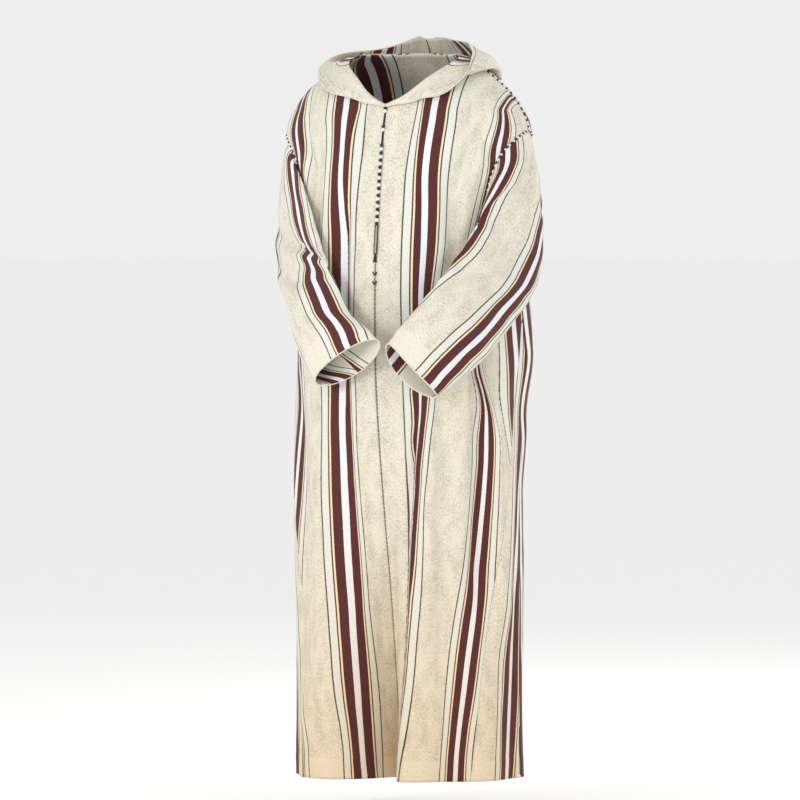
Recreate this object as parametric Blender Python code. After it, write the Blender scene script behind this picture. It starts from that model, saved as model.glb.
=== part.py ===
"""A long hooded robe of striped cloth, in the hollow form that it keeps when it is worn.

Metres, +Z up, with the front towards -Y and the wearer's left towards +X. The origin is the
middle of the shoulder line, which holds the robe up. Every panel is a thin wall of cloth
whose outer face lies on the form worked out below, and panels that are sewn together stand
a fine gap apart.
"""
import math

import bmesh
import bpy
import numpy as np

# Cloth and seams
WALL = 0.0020
HEM_WALL = 0.0029
HEM_BAND = 0.040
CUFF_BAND = 0.045
SEAM_GAP = 0.0003
SLEEVE_CLEARANCE = 0.008

# Heights, as drops below the shoulder line
YOKE_DROP = 0.190
ARMHOLE_TOP = 0.150
ARMHOLE_BOTTOM = 0.420
GORE_TOP = 0.520
VENT_TOP = 1.250
HEM_DROP = 1.400

# Armhole, in degrees of turn each side of the shoulder seam
ARMHOLE_FRONT = 25.0
ARMHOLE_BACK = 13.0
SHOULDER_SEAM = 90.0

# Mesh fineness
PANEL_COLUMNS = 13
BACK_COLUMNS = 24
GORE_COLUMNS = 4
YOKE_ROWS = 6
ARMHOLE_ROWS = 10
SKIRT_ROWS = 20
SLEEVE_SIDES = 2 * ARMHOLE_ROWS
SLEEVE_ROWS = 24
HOOD_COLUMNS = 54
HOOD_HALF_ROWS = 7
SEAM_GRADING = 1.35
FINE_STEPS = 240

# Sections of the body: drop, half width, depth of the front, depth of the back
BODY_SECTIONS = (
    (0.000, 0.088, 0.058, 0.062),
    (0.012, 0.114, 0.072, 0.076),
    (0.030, 0.150, 0.090, 0.091),
    (0.050, 0.176, 0.105, 0.104),
    (0.075, 0.204, 0.121, 0.116),
    (0.105, 0.226, 0.135, 0.127),
    (0.150, 0.243, 0.150, 0.139),
    (0.200, 0.226, 0.162, 0.148),
    (0.280, 0.205, 0.178, 0.155),
    (0.420, 0.202, 0.196, 0.155),
    (0.560, 0.212, 0.198, 0.150),
    (0.700, 0.221, 0.192, 0.152),
    (0.900, 0.225, 0.184, 0.158),
    (1.150, 0.224, 0.180, 0.166),
    (1.400, 0.227, 0.178, 0.174),
)
SQUARENESS = 2.3

# Neckline: degrees from the centre front, drop
NECKLINE = (
    (0, 0.100),
    (15, 0.082),
    (35, 0.050),
    (60, 0.022),
    (90, 0.006),
    (135, 0.003),
    (180, 0.001),
)

# Front seam of the gore: drop, degrees from the centre front
GORE_SEAM = (
    (0.520, 89.0),
    (0.700, 79.0),
    (0.888, 70.5),
    (1.098, 62.5),
    (1.400, 53.0),
)

# Folds of the body. Each runs down from where it starts to where it is full and on to its
# end, between two angles in degrees from the centre front, and stands out (+) or goes in (-).
# name, starts, full, ends, angle above, angle below, left side, right side, spread, depth
FOLDS = (
    ("front valley", 0.56, 1.42, 1.80, 5, 3, 18, 4.5, 2.0, -0.124),
    ("left leg ridge", 0.62, 1.20, 1.80, 32, 15, 6, 10, 1.3, 0.013),
    ("right leg ridge", 0.80, 1.30, 1.80, -38, -35, 9, 10, 1.0, 0.015),
    ("left side valley", 0.44, 0.64, 0.98, 57, 60, 4, 4, 1.0, -0.020),
    ("left side ridge", 0.44, 0.64, 1.05, 67, 71, 4, 9, 1.0, 0.016),
    ("left seat", 0.34, 0.46, 0.66, 102, 98, 15, 18, 1.0, 0.029),
    ("left chest", 0.17, 0.27, 0.40, 45, 41, 4, 4, 1.0, -0.009),
    ("right chest", 0.17, 0.24, 0.36, -46, -40, 4, 4, 1.0, -0.009),
    ("right breast", 0.22, 0.34, 0.60, -26, -17, 5, 6, 1.0, -0.006),
    ("left thigh", 0.60, 0.82, 1.10, 44, 36, 5, 6, 1.0, -0.009),
    ("right thigh", 0.55, 0.75, 1.15, -60, -58, 6, 6, 1.0, -0.013),
    ("right shin", 0.90, 1.25, 1.80, -66, -70, 6, 7, 1.0, -0.014),
    ("left shin", 0.95, 1.28, 1.80, 46, 41, 6, 6, 1.0, -0.012),
    ("left hem", 1.05, 1.30, 1.80, 74, 77, 5, 5, 1.0, -0.009),
    ("back valley", 0.66, 1.30, 1.80, 179, 183, 13, 9, 1.2, -0.060),
    ("back left fold", 0.30, 0.60, 1.80, 146, 151, 6, 7, 1.0, -0.014),
    ("back left ridge", 0.50, 0.95, 1.80, 133, 130, 7, 6, 1.0, 0.010),
    ("back right fold", 0.26, 0.55, 1.80, -140, -148, 7, 6, 1.0, -0.016),
    ("back right ridge", 0.55, 0.90, 1.80, -128, -124, 6, 8, 1.0, 0.011),
    ("left back side", 0.62, 0.95, 1.80, 112, 109, 5, 5, 1.0, -0.012),
    ("right back side", 0.50, 0.85, 1.80, -110, -113, 5, 6, 1.0, -0.013),
    ("left shoulder blade", 0.14, 0.26, 0.46, 128, 136, 6, 5, 1.0, -0.008),
    ("right shoulder blade", 0.15, 0.30, 0.50, -124, -131, 5, 6, 1.0, -0.009),
)
FOLD_FADE = 0.14

# Rails of the sleeves: x, y, z of the front, outer, back and inner edges at each station,
# from the upper arm round the bent elbow to the cuff
LEFT_RAILS = (
    (0.197, -0.112, -0.272, 0.261, 0.004, -0.235, 0.216, 0.078, -0.325, 0.213, 0.004, -0.428),
    (0.187, -0.136, -0.318, 0.264, -0.002, -0.322, 0.228, 0.076, -0.382, 0.216, -0.008, -0.437),
    (0.179, -0.163, -0.357, 0.259, -0.025, -0.400, 0.236, 0.044, -0.437, 0.215, -0.036, -0.447),
    (0.160, -0.193, -0.398, 0.250, -0.088, -0.452, 0.238, -0.014, -0.482, 0.201, -0.094, -0.455),
    (0.140, -0.218, -0.434, 0.222, -0.172, -0.479, 0.226, -0.080, -0.533, 0.174, -0.142, -0.485),
    (0.116, -0.241, -0.472, 0.198, -0.226, -0.521, 0.203, -0.150, -0.587, 0.144, -0.184, -0.531),
    (0.086, -0.262, -0.512, 0.160, -0.268, -0.560, 0.176, -0.203, -0.624, 0.108, -0.211, -0.574),
    (0.056, -0.283, -0.556, 0.112, -0.302, -0.598, 0.146, -0.254, -0.656, 0.070, -0.243, -0.622),
)
RIGHT_RAILS = (
    (-0.188, -0.110, -0.255, -0.267, 0.002, -0.232, -0.217, 0.077, -0.325, -0.213, 0.004, -0.428),
    (-0.157, -0.150, -0.303, -0.276, -0.004, -0.322, -0.234, 0.074, -0.384, -0.216, -0.010, -0.437),
    (-0.121, -0.186, -0.362, -0.265, -0.032, -0.402, -0.236, 0.036, -0.440, -0.212, -0.046, -0.448),
    (-0.092, -0.207, -0.410, -0.230, -0.112, -0.440, -0.214, -0.034, -0.470, -0.186, -0.122, -0.456),
    (-0.062, -0.227, -0.455, -0.183, -0.196, -0.466, -0.192, -0.092, -0.518, -0.152, -0.168, -0.492),
    (-0.030, -0.247, -0.500, -0.138, -0.242, -0.510, -0.176, -0.136, -0.562, -0.116, -0.198, -0.540),
    (0.004, -0.262, -0.523, -0.094, -0.268, -0.540, -0.145, -0.182, -0.607, -0.068, -0.212, -0.576),
    (0.036, -0.274, -0.550, -0.046, -0.274, -0.577, -0.109, -0.224, -0.634, -0.024, -0.224, -0.612),
)

# Creases of the sleeves: place along the sleeve (0 armhole, 1 cuff), degrees round from the
# front edge through the outer edge, slant in degrees for the whole length, length along,
# width round in degrees, depth
LEFT_CREASES = (
    (0.30, 40, 160, 0.07, 12, -0.006),
    (0.40, 70, 190, 0.06, 11, -0.007),
    (0.48, 30, 120, 0.05, 13, -0.005),
    (0.55, 110, -60, 0.09, 14, -0.006),
    (0.70, 80, 30, 0.12, 13, -0.004),
    (0.22, 120, 60, 0.08, 16, -0.005),
    (0.45, 230, 120, 0.07, 15, -0.006),
)
RIGHT_CREASES = (
    (0.34, 50, -170, 0.06, 12, -0.006),
    (0.44, 90, -190, 0.06, 11, -0.007),
    (0.52, 60, -120, 0.06, 13, -0.005),
    (0.60, 120, 50, 0.09, 13, -0.006),
    (0.74, 70, 20, 0.11, 14, -0.004),
    (0.20, 110, -60, 0.08, 16, -0.005),
    (0.46, 240, -120, 0.07, 15, -0.006),
)

# Hood, worn down: degrees from the centre front, how far its edge lies out from the
# neckline, how far its cloth sags beyond that, how high its edge stands
HOOD = (
    (-180, 0.000, 0.310, 0.042),
    (-165, 0.004, 0.240, 0.042),
    (-145, 0.014, 0.140, 0.036),
    (-122, 0.034, 0.072, 0.031),
    (-100, 0.050, 0.038, 0.026),
    (-82, 0.060, 0.022, 0.021),
    (-66, 0.064, 0.012, 0.016),
    (-48, 0.060, 0.008, 0.012),
    (-25, 0.030, 0.005, 0.008),
    (0, 0.006, 0.002, 0.006),
    (26, 0.032, 0.005, 0.008),
    (44, 0.056, 0.009, 0.011),
    (58, 0.052, 0.020, 0.016),
    (74, 0.032, 0.042, 0.020),
    (92, 0.016, 0.064, 0.024),
    (112, 0.008, 0.088, 0.029),
    (135, 0.004, 0.130, 0.035),
    (160, 0.002, 0.220, 0.041),
    (180, 0.000, 0.310, 0.042),
)
HOOD_SEAT = 0.0027
HOOD_CLEARANCE = 0.0065
HOOD_SEAT_SHARE = 0.14
HOOD_FRONT_GAP = 1.2
HOOD_TURN = 0.30
HOOD_TURN_PLACE = 72.0
HOOD_CROWDING = 15.0
HOOD_TIP = 0.10
HOOD_PULL_LIMIT = 0.96
HOOD_FLARE = 0.35
EDGE_RADIUS = 0.0013
EDGE_GAP = 0.0010

# Trims on the centre seam: drops, pitch and radii
KNOTS_TOP = 0.108
KNOT_PITCH = 0.0069
KNOT_COUNT = 32
KNOT_RADIUS = 0.0029
CORE_RADIUS = 0.0013
KNOTS_LEFT_OUT = (2, 3, 4, 7, 8, 9)
CORD_TOP = 0.3335
CORD_END = 0.386
CORD_SPREAD = 0.0030
CORD_RADIUS = 0.0010
TASSEL_END = 0.402
TASSEL_RADIUS = 0.0036

# Colours: red, green, blue, roughness
CREAM = (0.72, 0.68, 0.56, 0.85)
PALE = (0.80, 0.76, 0.62, 0.80)
MAROON = (0.10, 0.03, 0.03, 0.70)


def clear_scene():
    for thing in list(bpy.data.objects):
        bpy.data.objects.remove(thing, do_unlink=True)


def curve(table, column, at):
    """Read a column of a table at given keys, on a smooth curve through its rows."""
    rows = np.array(table, dtype=float)
    keys = rows[:, 0]
    values = rows[:, column]
    slopes = np.gradient(values, keys)
    at = np.clip(at, keys[0], keys[-1])
    low = np.clip(np.searchsorted(keys, at, side="right") - 1, 0, len(keys) - 2)
    span = keys[low + 1] - keys[low]
    t = (at - keys[low]) / span
    rise = t * t * (3 - 2 * t)
    lift = values[low] * (1 - rise) + values[low + 1] * rise
    bend = slopes[low] * (t - 2 * t**2 + t**3) - slopes[low + 1] * (t**2 - t**3)
    return lift + span * bend


def step(t):
    """Rise smoothly from 0 to 1."""
    t = np.clip(t, 0.0, 1.0)
    return t * t * (3 - 2 * t)


def wrap(degrees):
    return (degrees + 180.0) % 360.0 - 180.0


def fold_depth(angle, drop):
    """Add up what every fold does to the body's radius at an angle and a drop."""
    total = np.zeros(np.broadcast(angle, drop).shape)
    for _, starts, full, ends, above, below, left, right, spread, depth in FOLDS:
        grown = step((drop - starts) / (full - starts)) * (1 - step((drop - ends) / FOLD_FADE))
        way = np.clip((drop - starts) / (HEM_DROP - starts), 0, 1)
        away = wrap(angle - above - (below - above) * way)
        width = np.where(away < 0, left, right) * (spread + (1 - spread) * way)
        total = total + depth * grown * np.exp(-0.5 * (away / width) ** 2)
    return total


def body_point(angle, drop):
    """The outer face of the body at an angle in degrees and a drop."""
    turn = np.radians(angle)
    depth = np.where(
        np.cos(turn) > 0, curve(BODY_SECTIONS, 2, drop), curve(BODY_SECTIONS, 3, drop)
    )
    across = np.abs(np.sin(turn)) / curve(BODY_SECTIONS, 1, drop)
    along = np.abs(np.cos(turn)) / depth
    radius = (across**SQUARENESS + along**SQUARENESS) ** (-1 / SQUARENESS)
    radius = radius + fold_depth(angle, drop)
    return np.stack([radius * np.sin(turn), -radius * np.cos(turn), -drop + 0 * radius], axis=-1)


def unit(vectors):
    return vectors / np.linalg.norm(vectors, axis=-1, keepdims=True)


def body_normal(angle, drop):
    """The direction that the body's outer face looks in."""
    turn_step = 0.4
    drop_step = 0.002
    round_it = body_point(angle + turn_step, drop) - body_point(angle - turn_step, drop)
    down_it = body_point(angle, drop + drop_step) - body_point(angle, drop - drop_step)
    return unit(np.cross(down_it, round_it))


def neck_drop(angle):
    return curve(NECKLINE, 1, np.abs(wrap(angle)))


def grid_normals(points, closed):
    """Normals of a grid of points, whose second direction may close on itself."""
    if closed:
        across = np.roll(points, -1, axis=1) - np.roll(points, 1, axis=1)
    else:
        across = np.gradient(points, axis=1)
    down = np.gradient(points, axis=0)
    return unit(np.cross(down, across))


def make_material(name, colour):
    red, green, blue, roughness = colour
    material = bpy.data.materials.new(name)
    material.use_nodes = True
    shader = material.node_tree.nodes["Principled BSDF"]
    shader.inputs["Base Color"].default_value = (red, green, blue, 1.0)
    shader.inputs["Roughness"].default_value = roughness
    shader.inputs["Metallic"].default_value = 0.0
    return material


def add_object(name, work, colour):
    """Finish a closed bmesh as a named object with its own material."""
    bmesh.ops.recalc_face_normals(work, faces=work.faces)
    mesh = bpy.data.meshes.new(name)
    work.to_mesh(mesh)
    work.free()
    mesh.shade_smooth()
    mesh.set_sharp_from_angle(angle=math.radians(50))
    mesh.materials.append(make_material(name, colour))
    thing = bpy.data.objects.new(name, mesh)
    bpy.context.scene.collection.objects.link(thing)
    return thing


def wall_from_grid(name, outer, inner, closed, colour=CREAM):
    """Close two grids of points, an outer and an inner face, into one thin wall."""
    work = bmesh.new()
    faces = [[[work.verts.new(p) for p in row] for row in grid] for grid in (outer, inner)]
    rows = len(outer)
    columns = len(outer[0])
    last = columns if closed else columns - 1
    for face in faces:
        for r in range(rows - 1):
            for c in range(last):
                d = (c + 1) % columns
                work.faces.new((face[r][c], face[r][d], face[r + 1][d], face[r + 1][c]))
    front, back = faces
    for r in (0, rows - 1):
        for c in range(last):
            d = (c + 1) % columns
            work.faces.new((front[r][c], front[r][d], back[r][d], back[r][c]))
    if not closed:
        for c in (0, columns - 1):
            for r in range(rows - 1):
                work.faces.new((front[r][c], front[r + 1][c], back[r + 1][c], back[r][c]))
    return add_object(name, work, colour)


def even_places(points, count, trim, grading):
    """Places along a dense line of points, closer at its start where grading is over 1."""
    lengths = np.linalg.norm(np.diff(points, axis=0), axis=1)
    run = np.concatenate([[0.0], np.cumsum(lengths)])
    wanted = trim + (run[-1] - 2 * trim) * np.linspace(0, 1, count) ** grading
    return np.interp(wanted, run, np.linspace(0, 1, len(points)))


def cloth_wall(drop):
    """Wall of the body's cloth, thicker where the hem is turned up."""
    return np.where(drop > HEM_DROP - HEM_BAND, HEM_WALL, WALL)


def body_panel(name, rows, columns, grading=1.0):
    """A panel of the body, from rows that give angle and drop for each fraction across."""
    outer = []
    inner = []
    fine = np.linspace(0, 1, FINE_STEPS + 1)
    for row in rows:
        angle, drop = row(fine)
        places = even_places(body_point(angle, drop), columns, SEAM_GAP / 2, grading)
        angle, drop = row(places)
        points = body_point(angle, drop)
        outer.append(points)
        inner.append(points - body_normal(angle, drop) * cloth_wall(drop)[:, None])
    return wall_from_grid(name, outer, inner, closed=False)


def gore_front(drop):
    """Degrees from the centre front to the seam between front panel and gore."""
    return np.where(drop < GORE_TOP, SHOULDER_SEAM, curve(GORE_SEAM, 1, drop))


def skirt_drops():
    """Drops of the rows below the armholes, with one where each hem band begins."""
    upper = np.linspace(ARMHOLE_BOTTOM, HEM_DROP - HEM_BAND, SKIRT_ROWS)
    gore = np.argmin(np.abs(upper - GORE_TOP))
    upper[gore] = GORE_TOP
    return list(upper[1:]) + [HEM_DROP - HEM_BAND + 0.001, HEM_DROP]


def panel_row(side, start, edge, centre_drop, edge_drop):
    """One row of a panel, from a middle angle to an edge angle on the given side."""

    def row(across):
        angle = start + side * (edge - start * side) * across
        return angle, centre_drop + (edge_drop - centre_drop) * across**2

    return row


def front_rows(side):
    """Rows of a front panel, from the neckline over the shoulder to the hem."""
    rows = []
    for v in np.linspace(0, 1, YOKE_ROWS + 1):

        def yoke(across, v=v):
            angle = side * SHOULDER_SEAM * across
            below = YOKE_DROP + (ARMHOLE_TOP - YOKE_DROP) * across**2
            return angle, neck_drop(angle) * (1 - v) + below * v

        rows.append(yoke)
    middle = (ARMHOLE_TOP + ARMHOLE_BOTTOM) / 2
    half = (ARMHOLE_BOTTOM - ARMHOLE_TOP) / 2
    for w in np.linspace(0, 1, ARMHOLE_ROWS + 1)[1:]:
        swing = math.pi * (0.5 - w)
        edge = SHOULDER_SEAM - ARMHOLE_FRONT * math.cos(swing)
        centre_drop = YOKE_DROP + (ARMHOLE_BOTTOM - YOKE_DROP) * w
        rows.append(panel_row(side, 0.0, edge, centre_drop, middle - half * math.sin(swing)))
    for drop in skirt_drops():
        rows.append(panel_row(side, 0.0, float(gore_front(drop)), drop, drop))
    return rows


def back_rows():
    """Rows of the back panel, from one shoulder seam round to the other."""

    def whole_row(edge, centre_drop, edge_drop):
        def row(across):
            sideways = 2 * across - 1
            angle = 180.0 + (180.0 - edge) * sideways
            return angle, centre_drop + (edge_drop - centre_drop) * sideways**2

        return row

    rows = []
    for v in np.linspace(0, 1, YOKE_ROWS + 1):

        def yoke(across, v=v):
            sideways = 2 * across - 1
            angle = 180.0 + SHOULDER_SEAM * sideways
            below = YOKE_DROP + (ARMHOLE_TOP - YOKE_DROP) * sideways**2
            return angle, neck_drop(angle) * (1 - v) + below * v

        rows.append(yoke)
    middle = (ARMHOLE_TOP + ARMHOLE_BOTTOM) / 2
    half = (ARMHOLE_BOTTOM - ARMHOLE_TOP) / 2
    for w in np.linspace(0, 1, ARMHOLE_ROWS + 1)[1:]:
        swing = math.pi * (0.5 - w)
        edge = SHOULDER_SEAM + ARMHOLE_BACK * math.cos(swing)
        centre_drop = YOKE_DROP + (ARMHOLE_BOTTOM - YOKE_DROP) * w
        rows.append(whole_row(edge, centre_drop, middle - half * math.sin(swing)))
    for drop in skirt_drops():
        rows.append(whole_row(SHOULDER_SEAM + vent_turn(drop), drop, drop))
    return rows


def vent_turn(drop):
    """Degrees that the vent's back edge stands open at a drop."""
    return 2.2 * float(step((drop - VENT_TOP) / (HEM_DROP - VENT_TOP)))


def gore_rows(side):
    """Rows of a gore, from its point under the arm to the hem."""
    rows = []
    for drop in [d for d in skirt_drops() if d >= GORE_TOP]:
        front = float(gore_front(drop))
        rows.append(panel_row(side, side * front, SHOULDER_SEAM, drop, drop))
    return rows


def armhole_point(side, swing, inset):
    """A point of the armhole, drawn in from its edge by an inset."""
    middle = (ARMHOLE_TOP + ARMHOLE_BOTTOM) / 2
    half = (ARMHOLE_BOTTOM - ARMHOLE_TOP) / 2 - inset
    width = np.where(np.cos(swing) > 0, ARMHOLE_FRONT, ARMHOLE_BACK) - math.degrees(inset / 0.2)
    angle = side * (SHOULDER_SEAM - width * np.cos(swing))
    drop = middle - half * np.sin(swing)
    return body_point(angle, drop)


def sleeve_points(side, rails, creases, sides, rows):
    """Points of a sleeve's outer face, ring by ring from the armhole to the cuff."""
    swing = np.linspace(0, 2 * math.pi, sides, endpoint=False)
    first = armhole_point(side, swing, 1.5 * SEAM_GAP)
    corners = np.array([0, 0.5, 1.0, 1.5]) * math.pi
    start = armhole_point(side, corners, 0.0).reshape(-1)
    stations = np.vstack([start, np.array(rails)])
    places = np.linspace(0, 1, len(stations))
    table = np.column_stack([places, stations])
    cosine = np.cos(swing)[:, None]
    sine = np.sin(swing)[:, None]
    rings = []
    for w in np.linspace(0, 1, rows):
        edges = np.array([curve(table, c, w) for c in range(1, 13)]).reshape(4, 3)
        front, outer, back, inner = edges
        middle = (front + back) / 2
        ring = middle + (front - back) / 2 * cosine + (outer - inner) / 2 * sine
        rings.append(ring + ((outer + inner) / 2 - middle) * sine**2)
    rings = np.array(rings)
    fade = 1 - step(np.linspace(0, 1, rows) / 0.16)
    rings += fade[:, None, None] * (first - rings[0])
    rings += crease_depth(creases, rows, swing)[..., None] * grid_normals(rings, closed=True) * side
    return rest_on_body(rings, first)


def rest_on_body(rings, first):
    """Hold a sleeve's rings just clear of the body, on which the arm rests."""
    angle = np.degrees(np.arctan2(rings[..., 0], -rings[..., 1]))
    body = np.linalg.norm(body_point(angle, -rings[..., 2])[..., :2], axis=-1)
    radius = np.linalg.norm(rings[..., :2], axis=-1)
    clear = SLEEVE_CLEARANCE * step(np.linspace(0, 1, len(rings)) / 0.08)[:, None]
    short = np.maximum(body + clear - radius, 0.0)
    rings[..., :2] *= (1 + short / radius)[..., None]
    rings[0] = first
    return rings


def crease_depth(creases, rows, swing):
    """Add up the creases over a sleeve's rings."""
    place = np.linspace(0, 1, rows)[:, None]
    total = np.zeros((rows, len(swing)))
    for centre, around, slant, length, width, depth in creases:
        away = wrap(np.degrees(swing)[None, :] - around - slant * (place - centre))
        shape = np.exp(-0.5 * (away / width) ** 2 - 0.5 * ((place - centre) / length) ** 2)
        total += depth * shape
    return total * step(place / 0.12) * step((1 - place) / 0.10)


def make_sleeve(name, side, rails, creases):
    outer = sleeve_points(side, rails, creases, SLEEVE_SIDES, SLEEVE_ROWS)
    normals = grid_normals(outer, closed=True) * side
    lengths = np.linalg.norm(np.diff(outer.mean(axis=1), axis=0), axis=1)
    to_cuff = lengths.sum() - np.concatenate([[0.0], np.cumsum(lengths)])
    wall = np.where(to_cuff < CUFF_BAND, HEM_WALL, WALL)[:, None, None]
    return wall_from_grid(name, outer, outer - normals * wall, closed=True)


def drop_beyond_neck(angle, distance):
    """The drop that lies a distance down the cloth from the neckline, at one angle."""
    drops = neck_drop(angle) + np.linspace(0, 0.5, 160)
    points = body_point(angle, drops)
    run = np.concatenate([[0.0], np.cumsum(np.linalg.norm(np.diff(points, axis=0), axis=1))])
    return np.interp(distance, run, drops)


def hood_profile(angle, t):
    """Points of the hood's inner face at one angle: out from the neckline, round its sag
    and back to its edge."""
    out, sag, lift = (float(curve(HOOD, c, wrap(angle))) for c in (1, 2, 3))
    turned = step((t - HOOD_TURN) / (1 - 2 * HOOD_TURN))
    distance = out * t + sag * (1 - np.sqrt((2 * t - 1) ** 2 + HOOD_TIP**2)) / (1 - HOOD_TIP)
    clear = HOOD_SEAT + (HOOD_CLEARANCE - HOOD_SEAT) * step(t / HOOD_SEAT_SHARE)
    height = clear + (lift - clear) * (turned * (1 - HOOD_FLARE) + HOOD_FLARE * t**2)
    drop = drop_beyond_neck(angle, distance)
    return body_point(angle, drop) + body_normal(angle, drop) * height[:, None]


def hood_fold_place(angle):
    """The place along the hood's profile where its cloth folds back."""
    out, sag = (float(curve(HOOD, c, wrap(angle))) for c in (1, 2))
    pull = min(out * (1 - HOOD_TIP) / (2 * sag), HOOD_PULL_LIMIT)
    return 0.5 + 0.5 * HOOD_TIP * pull / math.sqrt(1 - pull**2)


def hood_grid(angles, half_rows):
    """The hood's profiles at every angle, with rows evenly spaced on each side of its fold."""
    grid = []
    for angle in angles:
        fold = hood_fold_place(angle)
        places = []
        for start, end in ((0.0, fold), (fold, 1.0)):
            fine = np.linspace(start, end, FINE_STEPS + 1)
            even = even_places(hood_profile(angle, fine), half_rows + 1, 0.0, 1.0)
            places.append(start + (end - start) * even)
        grid.append(hood_profile(angle, np.concatenate([places[0], places[1][1:]])))
    return np.array(grid).transpose(1, 0, 2)


def hood_angles(count):
    """Angles round the neck, closest together over the shoulders, where the hood turns."""
    even = np.linspace(0, 360, count)
    crowding = np.sin(np.radians(2 * (even - HOOD_TURN_PLACE)))
    turns = even - HOOD_CROWDING * (crowding - crowding[0])
    return HOOD_FRONT_GAP + turns * (1 - 2 * HOOD_FRONT_GAP / 360.0)


def make_hood():
    inner = hood_grid(hood_angles(HOOD_COLUMNS), HOOD_HALF_ROWS)
    normals = grid_normals(inner, closed=False)
    return wall_from_grid("hood", inner, inner - normals * WALL, closed=False)


def tube(name, path, radii, sides, colour):
    """A closed tube of varying radius along a path."""
    path = np.array(path)
    radii = np.broadcast_to(radii, len(path))
    ahead = unit(np.gradient(path, axis=0))
    up = np.array([0.0, 0.0, 1.0])
    work = bmesh.new()
    rings = []
    side = unit(np.cross(ahead[0], up + 0.01))
    for point, forward, radius in zip(path, ahead, radii):
        side = unit(side - forward * np.dot(side, forward))
        other = np.cross(forward, side)
        turns = np.linspace(0, 2 * math.pi, sides, endpoint=False)
        ring = [point + radius * (side * math.cos(a) + other * math.sin(a)) for a in turns]
        rings.append([work.verts.new(p) for p in ring])
    for near, far in zip(rings, rings[1:]):
        for c in range(sides):
            d = (c + 1) % sides
            work.faces.new((near[c], near[d], far[d], far[c]))
    work.faces.new(rings[0])
    work.faces.new(rings[-1])
    return add_object(name, work, colour)


def make_hood_edge():
    """Rolled edging, just beyond the hood's free edge."""
    grid = hood_grid(hood_angles(HOOD_COLUMNS), HOOD_HALF_ROWS)
    normals = grid_normals(grid, closed=False)[-1]
    outward = unit(np.cross(np.gradient(grid[-1], axis=0), normals))
    outward *= np.sign(np.sum(outward * (grid[-1] - grid[-2])))
    path = grid[-1] + outward * (EDGE_GAP + EDGE_RADIUS) - normals * WALL / 2
    return tube("hood_edge", path, EDGE_RADIUS, 6, PALE)


def seam_line(drops, stand_off, sideways=0.0):
    """Points that stand off the centre front seam by a distance at given drops."""
    drops = np.array(drops)
    angle = np.zeros(len(drops))
    points = body_point(angle, drops) + body_normal(angle, drops) * np.array(stand_off)[..., None]
    points[:, 0] += sideways
    return points


def make_knot_row():
    """Knotted buttons on the centre seam, in pairs at first and then close together."""
    drops = []
    radii = []
    for k in range(KNOT_COUNT):
        full = CORE_RADIUS if k in KNOTS_LEFT_OUT else KNOT_RADIUS
        for part, radius in ((-0.42, CORE_RADIUS), (-0.2, full), (0.2, full)):
            drops.append(KNOTS_TOP + (k + part) * KNOT_PITCH)
            radii.append(radius)
    drops.append(KNOTS_TOP + (KNOT_COUNT - 0.6) * KNOT_PITCH)
    radii.append(CORE_RADIUS)
    path = seam_line(drops, np.full(len(drops), KNOT_RADIUS + 2 * SEAM_GAP))
    return tube("knot_row", path, radii, 6, MAROON)


def make_cords():
    drops = np.linspace(CORD_TOP, CORD_END, 6)
    stand_off = np.full(len(drops), CORD_RADIUS + 2 * SEAM_GAP)
    for name, sideways in (("loop_cord_left", CORD_SPREAD), ("loop_cord_right", -CORD_SPREAD)):
        path = seam_line(drops, stand_off, sideways)
        tube(name, path, CORD_RADIUS, 6, MAROON)
    ends = np.linspace(CORD_END + 2 * SEAM_GAP, TASSEL_END, 4)
    widths = np.linspace(TASSEL_RADIUS / 3, TASSEL_RADIUS, 4)
    tube("tassel", seam_line(ends, widths + 2 * SEAM_GAP), widths, 8, MAROON)


def main():
    clear_scene()
    for name, side in (("front_left", 1), ("front_right", -1)):
        body_panel(name, front_rows(side), PANEL_COLUMNS, SEAM_GRADING)
    body_panel("back", back_rows(), BACK_COLUMNS)
    for name, side in (("gore_left", 1), ("gore_right", -1)):
        body_panel(name, gore_rows(side), GORE_COLUMNS)
    make_sleeve("sleeve_left", 1, LEFT_RAILS, LEFT_CREASES)
    make_sleeve("sleeve_right", -1, RIGHT_RAILS, RIGHT_CREASES)
    make_hood()
    make_hood_edge()
    make_knot_row()
    make_cords()


main()
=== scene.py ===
# %% [markdown]
# # A striped hooded robe around its packed frame
# The robe is a long garment of woven striped cloth, kept here in the form that it has when
# it is worn. The packed model holds every panel as a plain thin wall. This script dresses
# each panel with a finer sheet that has the real creases, weave and stripes. Loading the
# frame first matters, because every piece made below has to ride on it.

# %% Load the packed frame
import math

import bmesh
import bpy
import numpy as np
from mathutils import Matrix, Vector


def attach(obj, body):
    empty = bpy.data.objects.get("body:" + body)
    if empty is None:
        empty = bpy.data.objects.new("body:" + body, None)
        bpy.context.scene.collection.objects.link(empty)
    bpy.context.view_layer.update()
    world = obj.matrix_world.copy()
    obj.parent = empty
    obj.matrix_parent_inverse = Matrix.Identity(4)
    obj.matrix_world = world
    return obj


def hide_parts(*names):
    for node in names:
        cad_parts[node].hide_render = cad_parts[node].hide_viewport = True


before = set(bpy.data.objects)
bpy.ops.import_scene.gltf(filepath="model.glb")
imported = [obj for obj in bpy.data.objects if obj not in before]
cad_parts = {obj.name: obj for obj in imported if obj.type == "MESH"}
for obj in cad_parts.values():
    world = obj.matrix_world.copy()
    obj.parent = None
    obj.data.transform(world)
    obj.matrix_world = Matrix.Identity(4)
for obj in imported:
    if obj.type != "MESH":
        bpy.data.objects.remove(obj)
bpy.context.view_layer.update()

BODY = "root"
print("nodes in the frame:", sorted(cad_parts))

# %% [markdown]
# ## Camera
# The robe is seen a little from its left, from almost level with its waist. A long lens far
# away keeps the sides of the robe nearly parallel, as a photographer would do for clothes.

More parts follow.
